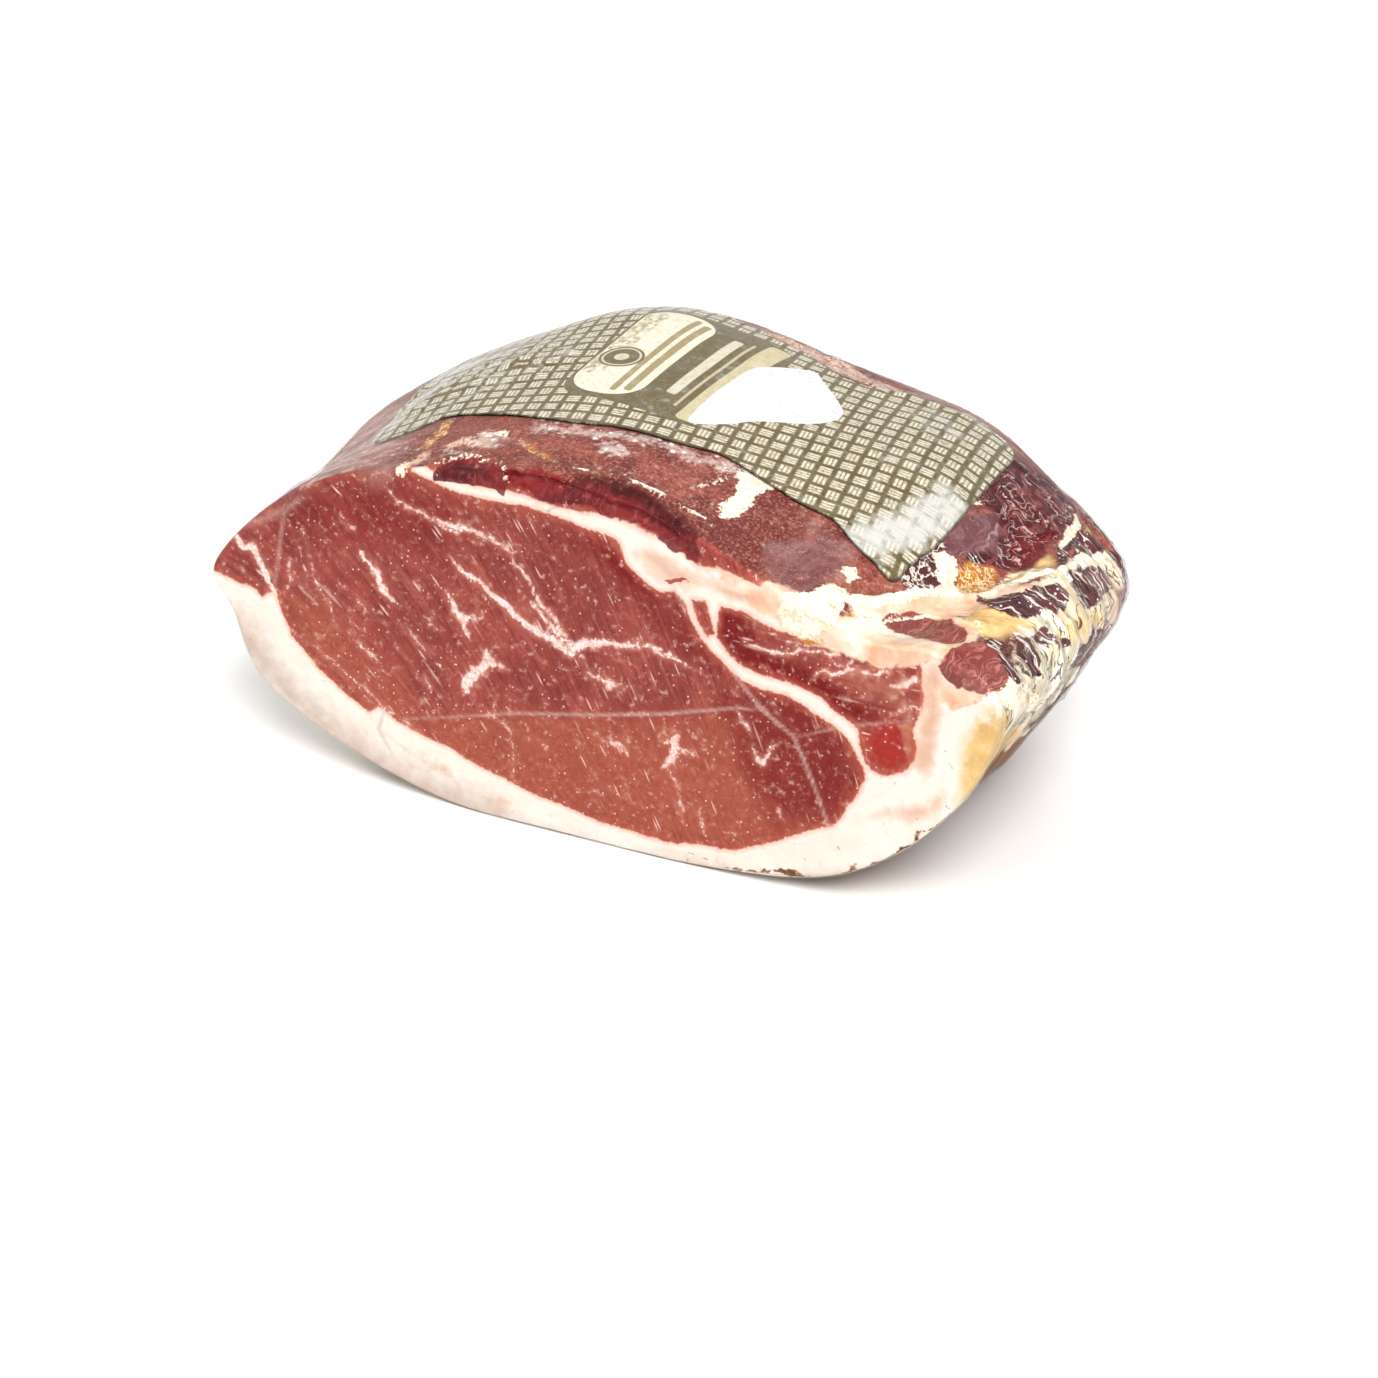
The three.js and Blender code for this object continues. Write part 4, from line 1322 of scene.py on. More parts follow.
# What is painted on the outside, by the layers' fields.
OUTSIDE_MARKS: dict[str, Marks] = {
    "peach": (
        Patch(((226, -3), (232, 5), (240, 11), (243, 27), (257, 27), (269, 22), (271, 8), (268, 0),
               (256, -2), (246, -4), (236, -5)), 2.0),
        Patch(((266, -7), (276, -3), (281, -2), (287, 1), (288, -5), (296, -11), (290, -15),
               (278, -13)), 2.5, 0.9),
        Patch(((196, -2), (212, 2), (222, 6), (222, -6), (200, -7)), 2.0, 0.9),
        Line(((84, 1), (89, 5), (92, 11)), 1.6, 3.5, 0.85),
        Patch(((230, 12), (237, 30), (243, 40), (248, 50), (254, 58), (262, 64), (266, 60), (262, 50),
               (259, 42), (256, 32), (252, 22), (246, 12), (236, 8)), 1.5),
    ),
    "yellow": (
        Patch(((292, -1), (296, 6), (308, 24), (322, 46), (334, 52), (326, 24), (313, 8), (306, 0)), 5.0),
        Patch(((297, -5), (312, -5), (328, 2), (330, 24), (318, 26), (306, 12), (298, 3)), 3.0),
        Patch(((249, 50), (249, 82), (250, 87), (257, 83), (263, 73), (256, 62), (251, 54)), 2.5, 0.8),
        Patch(((254, 37), (264, 38), (272, 40), (276, 40), (275, 28), (271, 21), (262, 22)), 3.0, 0.95),
        Patch(((280, 58), (284, 72), (288, 86), (292, 82), (291, 66), (288, 50), (284, 46)), 3.0, 0.7),
        Line(((256, 112), (262, 122), (268, 118)), 2.5, 2.5, 0.7),
    ),
    "rose": (
        Patch(ROSE_POCKET, 1.2),
        Patch(((268, 0), (269, 13), (272, 18), (278, 15), (285, 11), (288, 4), (286, 0), (281, -2),
               (276, -4), (270, -3)), 1.2),
        Line(((66, 9), (76, 12), (84, 11)), 2.5, 4.0, 0.8),
    ),
    "deep": (
        Patch(((228, 75), (229, 102), (231, 119), (239, 129), (245, 130), (248, 124), (247, 108), (247, 89),
               (248, 75), (247, 66), (240, 61), (241, 68), (235, 82)), 2.0, 0.8),
    ),
    "bright": (Patch(((240, 78), (241, 92), (245, 98), (249, 86), (250, 72), (246, 69)), 2.0),),
    "wine": (
        Patch(((95, -1), (101, 4), (110, 6), (117, 3), (122, -1), (121, -2), (119, -3), (110, -2.5),
               (100, -2)), 0.8),
        Patch(((123, -1), (130, 4), (139, 2), (143, -3), (139, -4), (132, -3.5), (126, -3)), 0.8, 0.8),
        Patch(((139, 2), (149, 6), (156, 7), (167, 8), (178, 5), (184, 2), (187, -1), (186, -3), (181, -3.5),
               (175, -3.5), (169, -3), (160, -2.5), (152, -3), (143, -3.5)), 0.8),
    ),
    "shadow": (
        Line(((98, 0), (104, 2), (111, 2), (116, 0)), 1.6, 2.0, 0.8),
        Line(((123, -2), (126, 2), (131, 3)), 0.6, 1.4, 0.7),
        Line(((142, 3), (149, 6), (156, 7), (167, 7), (176, 4.5), (183, 2), (186, -1)), 1.8, 2.6, 0.95),
        Line(((134, -6), (139, -5)), 0.6, 1.2, 0.6),
    ),
    "dark": (
        Patch(((250, 92), (250, 101), (253, 101), (257, 93), (262, 86), (256, 84)), 1.2),
        Patch(((250, 103), (254, 115), (262, 112), (263, 104), (262, 94)), 1.4),
        Patch(((257, 115), (269, 124), (271, 115), (268, 105), (265, 104)), 1.6),
        Patch(((249, 45), (255, 46), (256, 51), (262, 51), (262, 60), (268, 67), (274, 69), (278, 61),
               (277, 53), (272, 50), (274, 44), (272, 40), (267, 37), (259, 39)), 1.4),
        Patch(((265, 78), (268, 90), (278, 108), (284, 96), (283, 84), (284, 75), (277, 73)), 2.5, 0.9),
        Patch(((297, 60), (293, 71), (292, 86), (293, 93), (302, 104), (310, 90), (306, 70)), 2.0),
        Patch(((286, 50), (288, 54), (291, 51), (288, 47)), 1.0),
        Patch(((272, 19), (274, 23), (280, 19), (287, 16), (287, 13), (284, 11), (278, 15)), 0.9),
        Patch(((276, 26), (278, 32), (284, 30), (288, 26), (289, 22), (282, 23)), 0.9),
        Patch(((277, 36), (278, 43), (282, 43), (284, 40), (281, 36)), 1.0, 0.8),
        Patch(((276, 118), (282, 134), (300, 140), (306, 124), (294, 112)), 3.0, 0.9),
        Patch(((256, 132), (262, 150), (282, 156), (286, 142), (270, 130)), 3.0, 0.9),
        Line(((241, 68), (239, 60), (241, 54)), 1.6, 1.2),
    ),
    # painted reflection: the film's glare patches, kept crisp-edged
    "mauve": (
        Patch(GLARE_SPOT, 0.7, 0.9),
        Patch(GLARE_FOLD, 0.7, 0.46),
        Patch(((284, 98), (290, 125), (312, 124), (310, 96)), 4.0),
    ),
    "lean_line": (Patch(((196, 8), (206, 24), (224, 28), (240, 60), (232, 90), (228, 60),
                         (220, 2)), 3.0, 0.8),),
    "streaky": (
        Patch(((266, 42), (262, 66), (262, 96), (276, 122), (300, 112), (316, 84), (322, 52), (312, 26),
               (303, 7), (294, 3), (288, 14), (276, 28)), 4.0),
    ),
    "netted": (
        Patch(((229, 34), (229, 44), (228, 57), (232, 53), (235, 48), (239, 42), (240, 35), (235, 27)), 1.6),
    ),
    "cream": (
        Patch(((217, -4), (219, 4), (222, 12), (225, 15), (231, 9), (233, 1), (230, -4), (224, -6)), 1.4),
        Patch(FAT_DROP, 0.9),
        Line(((227, 10), (234, 16), (236, 24), (240, 34), (244, 43), (248, 48), (251, 57), (257, 65),
              (263, 76), (266, 94), (271, 109), (275, 116)), 1.5, 1.4, 1.0, False),
        Line(((240, 12), (242, 20), (250, 28), (262, 27), (272, 20)), 0.8, 1.2, 0.9),
        Patch(((234, 46), (234, 51), (238, 53), (241, 47), (244, 43), (241, 40), (239, 41)), 1.0),
        Patch(((248, 94), (247, 104), (248, 122), (252, 116), (251, 102), (251, 94)), 1.2),
        Line(((249, 58), (251, 70), (254, 82)), 1.2, 1.6, 0.8),
        Line(((228, 70), (230, 75), (232, 80)), 1.0, 1.0, 0.95),
        Patch(((183, 18), (184, 27), (179, 37), (186, 38), (191, 40), (188, 26), (190, 17),
               (187, 13)), 1.2, 0.9),
        Line(((174, 18), (178, 30), (176, 38)), 1.0, 2.0, 0.6),
        Line(((83, -1), (86, 4)), 1.8, 1.4, 0.9),
        Line(((139, 6.5), (146, 8)), 0.9, 0.9, 0.85),
        Line(((154, 12), (163, 11), (172, 10)), 0.9, 1.0, 0.85),
        Line(((175, 10), (182, 9), (190, 9)), 0.6, 0.8, 0.8),
        Line(((94, 0), (99, 4), (109, 6.5), (117, 4), (122, -1)), 0.5, 0.7, 0.75),
        Line(((108, 20), (114, 20)), 1.4, 1.4, 0.85),
        Patch(((286, 4), (289, 12), (288, 18), (293, 22), (308, 48), (314, 52), (308, 34),
               (295, 6)), 1.4, 0.7),
    ),
    "amber": (
        Patch(((239, 50), (240, 57), (244, 63), (247, 60), (250, 50), (246, 43)), 1.5),
        Line(((93, 31), (91, 23), (89, 13)), 2.2, 2.0, 1.0),
        Line(((118, 18), (126, 12), (132, 9)), 1.6, 1.8, 0.8),
        Line(((104, 20), (110, 16), (112, 13)), 1.4, 1.8, 0.6),
        Line(((222, -5), (228, -6), (234, -3)), 1.6, 1.8, 0.8),
        Line(((226, 3), (233, 7), (238, 12)), 1.2, 1.8, 0.65),
        Line(((291, 18), (298, 21)), 1.4, 1.0, 0.8),
    ),
    "bloom": (
        Line(((142, 22), (152, 24)), 3.0, 3.0, 1.0),
        Patch(((102, 20), (108, 23), (114, 19), (114, 12), (108, 11)), 2.0, 0.8),
        Patch(((94, 13), (106, 10), (110, 8), (106, 6), (97, 5)), 2.0, 0.7),
        Line(((122, 26), (139, 27), (147, 31), (155, 33), (165, 34), (180, 37)), 3.0, 4.0, 0.95, False),
        Line(((128, 8), (150, 12), (175, 13), (188, 16)), 3.0, 5.0, 0.3),
        Patch(((50, 4), (88, 6), (86, 26), (60, 40), (46, 30)), 6.0, 0.45),
        Line(((156, 128), (180, 124), (220, 118)), 5.0, 6.0, 0.6),
    ),
    "crust": (
        Line(CRUST_RIDGE, 7.0, 6.0, 0.9),
        Line(((224, 30), (228, 44), (227, 60)), 1.5, 2.0, 0.6),
        Line(((97, 12), (103, 15), (111, 13)), 2.2, 1.8, 0.9),
        Line(((113, 18), (119, 17), (125, 13)), 1.4, 1.6, 0.8),
        Line(((44, 4), (57, 4.5), (66, 5), (73, 7)), 1.6, 2.6, 0.75, False),
    ),
    "rind": (
        Line(((330, 1.0), (350, 0.4), (375, 0.2), (430, 0.2)), 0.5, 0.8, 0.8),
        Patch(((311, 1), (314, 8), (330, 50), (342, 52), (330, 16), (319, 1)), 3.0, 1.0),
        Patch(((336, 40), (334, 120), (440, 150), (560, 150), (540, 40), (450, 18), (390, 16),
               (352, 24)), 3.0, 0.85),
    ),
}


@dataclass
class Outside:
    """The uncut outside: what is painted on it and how uneven it is, placed by girth and depth."""

    marks: dict[str, Marks] = field(default_factory=lambda: OUTSIDE_MARKS)
    relief: Marks = (
        Line(((94, 2), (101, 7), (110, 9), (118, 6), (123, 2)), 0.8, 1.6, 1.0),
        Line(((97, 1), (104, 3), (112, 3), (119, 0)), 1.8, 1.6, -1.6),
        Line(((124, 5), (131, 7), (139, 6), (149, 10), (160, 11), (171, 11), (180, 9),
              (188, 5)), 0.8, 1.6, 1.0),
        Line(((127, 1), (139, 1), (149, 4), (158, 5), (167, 5), (177, 3), (185, 0)), 2.2, 1.8, -2.0),
        Patch(((220, 4), (222, 12), (225, 14), (231, 8), (231, 1), (225, 1)), 2.4, 1.4),
        Patch(FAT_DROP, 1.6, 1.0),
        Line(((227, 10), (234, 16), (236, 24), (239, 31), (244, 41), (250, 48), (252, 60), (257, 68),
              (262, 75), (268, 93)), 1.4, 1.8, 1.1, False),
        Line(((232, 20), (233, 30), (238, 40), (244, 50), (246, 62)), 1.0, 2.2, -1.0, False),
        Patch(ROSE_POCKET, 2.0, -0.6),
        Patch(((243, 69), (237, 78), (237, 89), (241, 98), (246, 96), (248, 82)), 3.0, -1.0),
        Line(((286, 3), (294, 5), (306, 6), (320, 7)), 0.8, 2.4, -2.2),
        Line(((184, 19), (184, 27), (182, 35)), 1.0, 1.2, 0.35),
        Patch(((306, 14), (298, 60), (298, 110), (330, 122), (346, 90), (336, 12)), 12.0, -4.6),
    )
    rough: Marks = (
        Line(CRUST_RIDGE, 8.0, 8.0, 1.6),
        Patch(((220, 2), (222, 22), (236, 50), (252, 96), (278, 112), (296, 60), (290, 10), (268, 2),
               (240, 0)), 3.0, 1.0),
        Patch(((96, 8), (100, 30), (134, 30), (130, 10)), 5.0, 0.7),
    )
    fold_wander: Bumps = Bumps(30.0, 3.0, 21)
    swell: Bumps = Bumps(26.0, 0.55, 11)
    crust_lumps: tuple[Bumps, ...] = (Bumps(6.0, 0.75, 16), Bumps(2.8, 0.4, 17))
    grain: Bumps = Bumps(9.0, 0.2, 12)
    pits: tuple[Bumps, ...] = (Bumps(4.0, 0.35, 13), Bumps(1.9, 0.25, 14))
    tearing: tuple[Bumps, ...] = (Bumps(7.0, 1.5, 71), Bumps(3.0, 0.9, 81), Bumps(1.5, 0.5, 91))
    mottle: Bumps = Bumps(22.0, 0.5, 24)
    shank_pitch: float = 5.2
    shank_height: float = 0.5
    pleat_pitch: float = 6.0
    pleat_height: float = 0.9

    def fields(self, flat: Array, points: Array, fat: Array) -> dict[str, Array]:
        """Paints the outside's fields.

        Args:
            flat: girth and depth of each point.
            points: the points in mm.
            fat: thickness of the fat under each point.

        Returns:
            The fields by name.
        """
        warp = stray(points, self.tearing)
        torn = flat + warp
        # the painted film glare is laid on without torn edges
        made = {name: painted(marks, flat if name == "mauve" else torn) for name, marks in self.marks.items()}
        made["cover"] = smooth_step(fat, -1.5, 2.5)
        made["broad"] = 0.5 + self.mottle.at(points)
        under = smooth_step(points[:, 2], 13.0, 3.0) * smooth_step(flat[:, 1], 3.0, 9.0)
        made["rind"] = np.maximum(made["rind"], under * 0.9)
        made["girth"] = flat[:, 0] + 2.0 * warp[:, 0]
        made["depth"] = flat[:, 1] + self.fold_wander.at(points) + warp[:, 1]
        return made

    def height(
        self,
        form: HamForm,
        flat: Array,
        place: Array,
        points: Array,
        fat: Array,
        fine: float,
    ) -> Array:
        """Says how far the outside stands from the plain form.

        Args:
            form: the ham's form.
            flat: girth and depth of each point.
            place: place round the section of each point, in rails.
            points: the points in mm.
            fat: thickness of the fat under each point.
            fine: share of the small pits; film spans them.

        Returns:
            Height in mm.
        """
        girth, depth = flat.T
        away = smooth_step(depth, 1.0, 12.0) * smooth_step(points[:, 2], 3.0, 14.0)
        wander = self.fold_wander.at(points)
        tall = form.folds(place, depth, wander) + painted(self.relief, flat, added=True)
        tall += away * self.swell.at(points)
        tall += painted(self.rough, flat) * sum(bumps.at(points) for bumps in self.crust_lumps)
        shank = smooth_step(girth, 246, 262) * smooth_step(girth, 332, 316) * smooth_step(depth, 10, 24)
        wave = np.cos(2 * np.pi * (depth + wander) / self.shank_pitch)
        tall += shank * self.shank_height * wave * form.closing(depth)
        pleated = smooth_step(girth, 290, 302) * smooth_step(girth, 346, 334) * smooth_step(depth, 2, 6)
        pleated *= smooth_step(depth, 62, 50)
        pleats = np.abs(np.cos(np.pi * (depth + 0.5 * wander) / self.pleat_pitch))
        tall += pleated * self.pleat_height * pleats
        if fine:
            meat = smooth_step(fat, 3.0, -1.0)
            pits = sum(np.abs(bumps.at(points)) for bumps in self.pits)
            tall += away * fine * (self.grain.at(points) - meat * pits)
        return tall


@dataclass
class MeatPieces:
    """The ham itself: six pieces carved from one dense solid."""

    form: HamForm
    face: CutFace
    outside: Outside
    steps: int = 30
    spacing: float = 1.45
    lift: float = 0.25  # keeps the meat just clear of the film under it
    sleeve: float = 6.0  # straight length in front of the cut plane, for the cut face to trim
    room_sleeve: float = 8.0  # longer, so that the room opens through the sleeve
    muscle_run: tuple[float, float] = (-9.0, 200.0)  # from before the sleeves to behind the ham

    def __post_init__(self) -> None:
        """Lays out the outer surface that all the pieces share."""
        self.depth = self.form.ring_depths(self.spacing)
        self.fat = self.form.fat_under(self.steps, self.depth).ravel()
        girth = np.repeat(self.form.girth(self.steps), len(self.depth))
        self.flat = np.stack([girth, np.tile(self.depth, len(self.form.rails) * self.steps)], 1)
        self.tree = KDTree(len(self.flat))
        for i, point in enumerate(self.skin(0.0, 1.0).reshape(-1, 3)):
            self.tree.insert(point, i)
        self.tree.balance()

    def skin(self, extra: float | Array, fine: float) -> Array:
        """Lays out a surface over the meat.

        Args:
            extra: how far to stand off the meat, in mm.
            fine: share of the small pits; film spans them.

        Returns:
            Points by rings by three.
        """
        form, depth = self.form, self.depth
        count = len(form.rails) * self.steps
        rim = form.rim_radius
        turned = rim - np.sqrt(np.maximum(rim**2 - np.maximum(rim - depth, 0) ** 2, 0))
        plain = np.zeros((count, len(depth))) - turned[None, :]
        flat = form.section(self.steps, depth, plain)
        points = np.stack([flat[..., 0], np.broadcast_to(depth, flat.shape[:2]), flat[..., 1]], -1)
        place = np.repeat(np.arange(count) / self.steps, len(depth))
        height = self.outside.height(form, self.flat, place, points.reshape(-1, 3), self.fat, fine)
        moved = form.section(self.steps, depth, plain + height.reshape(plain.shape) + extra)
        points[..., 0] = moved[..., 0]
        points[..., 2] = moved[..., 1]
        return points

    def closed(self, name: str, points: Array, lowest: float) -> Solid:
        """Closes the skin, with a straight sleeve in front for the cut face to trim.

        Args:
            name: the object's name.
            points: points by rings by three.
            lowest: height of the flat spot underneath.

        Returns:
            The solid's object.
        """
        sleeve = points[:, :1].copy()
        sleeve[..., 1] = -self.sleeve
        rings = np.concatenate([sleeve, points], 1)
        rings[..., 2] = np.maximum(rings[..., 2], lowest)
        return Workshop.loft(name, rings)

    def on_map(self, points: Array) -> tuple[Array, Array]:
        """Finds each point's place on the outside's map.

        Args:
            points: places in mm.

        Returns:
            Girth and depth of each point, and the fat under it.
        """
        found = [self.tree.find(point)[1:] for point in points]
        nearest = np.array([item[0] for item in found])
        gap = np.array([item[1] for item in found])
        flat = self.flat[nearest].copy()
        front = smooth_step(points[:, 1], 3.5, 1.0) * np.maximum(gap - 0.8, 0)
        flat[:, 1] -= front
        return flat, self.fat[nearest]

    def enclosed(self) -> Solid:
        """Makes the solid of all that the fat cap encloses.

        Returns:
            The solid's object.
        """
        form = self.form
        deepest = form.depth - form.end_fat
        depth = deepest * np.sin(np.linspace(0, math.pi / 2, 40))
        seen = np.minimum(depth / deepest * form.depth, form.depth * 0.9995)
        thick = form.fat_under(self.steps // 2, seen)
        flat = form.section(self.steps // 2, seen, -thick * form.closing(seen)[None, :])
        points = np.stack([flat[..., 0], np.broadcast_to(depth, flat.shape[:2]), flat[..., 1]], -1)
        sleeve = points[:, :1].copy()
        sleeve[..., 1] = -self.room_sleeve
        return Workshop.loft("enclosed", np.concatenate([sleeve, points], 1))

    def carved(self) -> dict[Node, Solid]:
        """Carves the six pieces from one ham, so that they meet without a gap.

        Returns:
            The pieces by the solids that they stand for.
        """
        whole = self.closed("whole", self.skin(0.0, 1.0), self.lift)
        grid, shape = self.face.grid(self.face.pitch)
        block = self.face.block("face_block", self.face.setback(grid), grid, shape)
        ham = Workshop.carve(whole, block, Cut.KEEP_INSIDE, "ham")
        room = self.enclosed()
        lean_room = Workshop.carve(ham, room, Cut.KEEP_INSIDE, "lean_room")
        pieces = {Node.FAT_CAP: Workshop.carve(ham, room, Cut.TAKE_AWAY, Node.FAT_CAP.value)}
        seam = lean_room
        for node, corners in self.face.muscles.items():
            outline = rounded(corners, 12)
            muscle = Workshop.run_through(node.value + "_block", outline, 1, *self.muscle_run)
            pieces[node] = Workshop.carve(lean_room, muscle, Cut.KEEP_INSIDE, node.value)
            left = Workshop.carve(seam, muscle, Cut.TAKE_AWAY, "seam_left")
            if seam is not lean_room:
                Workshop.scrap(seam)
            Workshop.scrap(muscle)
            seam = left
        pieces[Node.FAT_SEAM] = seam
        Workshop.scrap(whole, block, ham, room, lean_room)
        return pieces

    def build(self) -> None:
        """Carves, paints and dresses the pieces."""
        for node, piece in self.carved().items():
            piece.name = node.value + "_piece"
            points = Workshop.measure(piece.data)
            flat, fat = self.on_map(points)
            fields = self.outside.fields(flat, points, fat) | self.face.fields(points)
            fields["cut"] = smooth_step(points[:, 1] - self.face.setback(points[:, [0, 2]]), 1.4, 0.35)
            Workshop.give_fields(piece.data, fields)
            Workshop.finish_piece(piece, node, FINISHES[node].build())


@dataclass
class ClearFilm:
    """The clear part of the bag, shrunk over the whole ham: thin, glossy, creased and cloudy white where
    loose, with painted glare in patches.
    """

    meat: MeatPieces
    stand_off: float = 0.45
    front: float = -0.4
    crease_height: float = 0.45
    wave: Bumps = Bumps(22.0, 0.12, 31)
    cloud_edge: tuple[Bumps, ...] = (Bumps(16.0, 7.0, 35),)
    creases: Marks = (
        Line(((67, 26), (110, 38), (138, 44), (158, 49), (184, 57), (191, 58)), 0.4, 0.6, 0.8),
        Line(((162, 91), (170, 81), (185, 65), (192, 58), (202, 52), (207, 42), (214, 25),
              (216, 18)), 0.45, 0.6, 0.9),
        Line(((203, 52), (218, 59), (240, 66)), 0.3, 0.6, 0.6),
        Line(((33, 94), (27, 87), (22, 60)), 0.5, 0.9, 0.6),
        Line(((8, 78), (20, 84), (34, 93)), 0.8, 1.6, 0.5),
    )
    loose: Marks = (
        Patch(((226, 2), (226, 130), (330, 150), (336, 8), (296, 6), (256, 8)), 8.0, 0.8),
        Patch(((34, 6), (34, 60), (84, 30), (88, 6)), 6.0, 0.4),
    )
    # partly cloudy white film, partly painted glare patches
    milk_and_glare: Marks = (
        Patch(GLARE_FOLD, 0.6, 0.1),
        Patch(GLARE_SPOT, 0.6, 0.05),
        Patch(((24, 6), (44, 3), (74, 1), (82, 10), (86, 24), (66, 60), (30, 60)), 8.0, 0.3),
        Patch(((276, 90), (290, 120), (320, 110), (318, 80)), 8.0, 0.2),
    )

    def build(self) -> None:
        """Makes and dresses the film."""
        girth = self.meat.flat
        rows = np.stack([girth[:, 0] / 3.0, girth[:, 1], np.zeros(len(girth))], 1)
        rucks = ridges(rows, 5.0, 33, 6) + 0.6 * ridges(rows, 2.6, 34, 6)
        lift = self.stand_off + painted(self.loose, girth) * rucks
        skin = self.meat.skin(lift.reshape(-1, len(self.meat.depth)), 0.0)
        sleeve = self.meat.closed("film_solid", skin, 0.0)
        face = self.meat.face
        grid, shape = face.grid(face.pitch * 1.5)
        space = np.insert(grid, 1, 0.0, axis=1)
        setback = self.front - self.crease_height * painted(self.creases, grid) + self.wave.at(space)
        block = face.block("film_block", setback, grid, shape)
        film = Workshop.carve(sleeve, block, Cut.KEEP_INSIDE, "clear_film")
        Workshop.scrap(sleeve, block)
        places = Workshop.measure(film.data)
        flat, _ = self.meat.on_map(places)
        front = smooth_step(places[:, 1], 1.0, 0.2)
        ruck = ridges(places * np.array([0.6, 1.6, 0.6]), 6.0, 37, 4)
        # painted field: cloudy white film and painted glare, with pale painted highlights along the front's
        # creases
        cloudy = painted(self.milk_and_glare, flat + stray(places, self.cloud_edge)) * (0.4 + 1.2 * ruck)
        haze = np.maximum(cloudy, 0.5 * front * painted(self.creases, places[:, [0, 2]]))
        Workshop.give_fields(film.data, {"haze": haze})
        Workshop.finish_piece(film, Node.BAG_PRINT, self.material())

    def material(self) -> Finish:
        """Builds the clear film's material, with sharp glints, and cloudy white patches that also carry
        painted glare.

        Returns:
            The finished material.
        """
        dye = Dye("clear shrink film, blown and shrunk tight")
        bump = dye.add("Bump", {"Strength": 0.5, "Distance": 0.5 * MILLIMETRE, "Height": dye.noise(5.0)})
        cloud = dye.add("MapRange", {0: dye.noise(2.2), 1: 0.3, 2: 0.7, 3: 0.7, 4: 1.3})
        cover = dye.add("Math", {0: dye.field("haze"), 1: cloud}, operation="MULTIPLY")
        clear = dye.add("BsdfTransparent", {"Color": (0.99, 0.99, 0.985, 1.0)})
        # the cloudy white shader, which also paints glare
        milk_and_glare_bsdf = dye.add("BsdfDiffuse", {"Color": linear_colour("#EBCBC0")})
        veil = dye.add("MixShader", {0: cover, 1: clear, 2: milk_and_glare_bsdf})
        shine = dye.add("BsdfGlossy", {"Roughness": 0.09, "Normal": bump})
        grazing = dye.add("Fresnel", {"IOR": 1.45, "Normal": bump})
        share = dye.add("Math", {0: grazing, 1: 0.4}, operation="MULTIPLY")
        return dye.surface("MixShader", {0: share, 1: veil, 2: shine})


@dataclass(frozen=True)
class InkBlock:
    """A block of flat ink with rounded corners, placed in plan in mm; speckled as a halftone tint is."""

    colour: str
    centre: tuple[float, float]
    half: tuple[float, float]
    corner: float
    speckled: bool = False

    def mask(self, dye: Dye) -> Socket:
        """Masks the block's place.

        Args:
            dye: the material in the making.

        Returns:
            The mask output.
        """
        beyond = []
        for name, middle, reach in zip(("across", "deep"), self.centre, self.half):
            sockets = {0: dye.apart(dye.field(name), middle), 1: reach - self.corner}
            past = dye.add("Math", sockets, operation="SUBTRACT")
            beyond.append(dye.add("Math", {0: past, 1: 0.0}, operation="MAXIMUM"))
        square = dye.add("Math", {0: beyond[1], 1: 2.0}, operation="POWER")
        squares = dye.add("Math", {0: beyond[0], 1: beyond[0], 2: square}, operation="MULTIPLY_ADD")
        gap = dye.add("Math", {0: squares}, operation="SQRT")
        mask = dye.add("MapRange", {0: gap, 1: self.corner + PRINT_EDGE, 2: self.corner - PRINT_EDGE})
        if self.speckled:
            blots = dye.add("MapRange", {0: dye.noise(2.2), 1: 0.42, 2: 0.6})
            mask = dye.add("Math", {0: mask, 1: blots}, operation="MULTIPLY")
        return mask


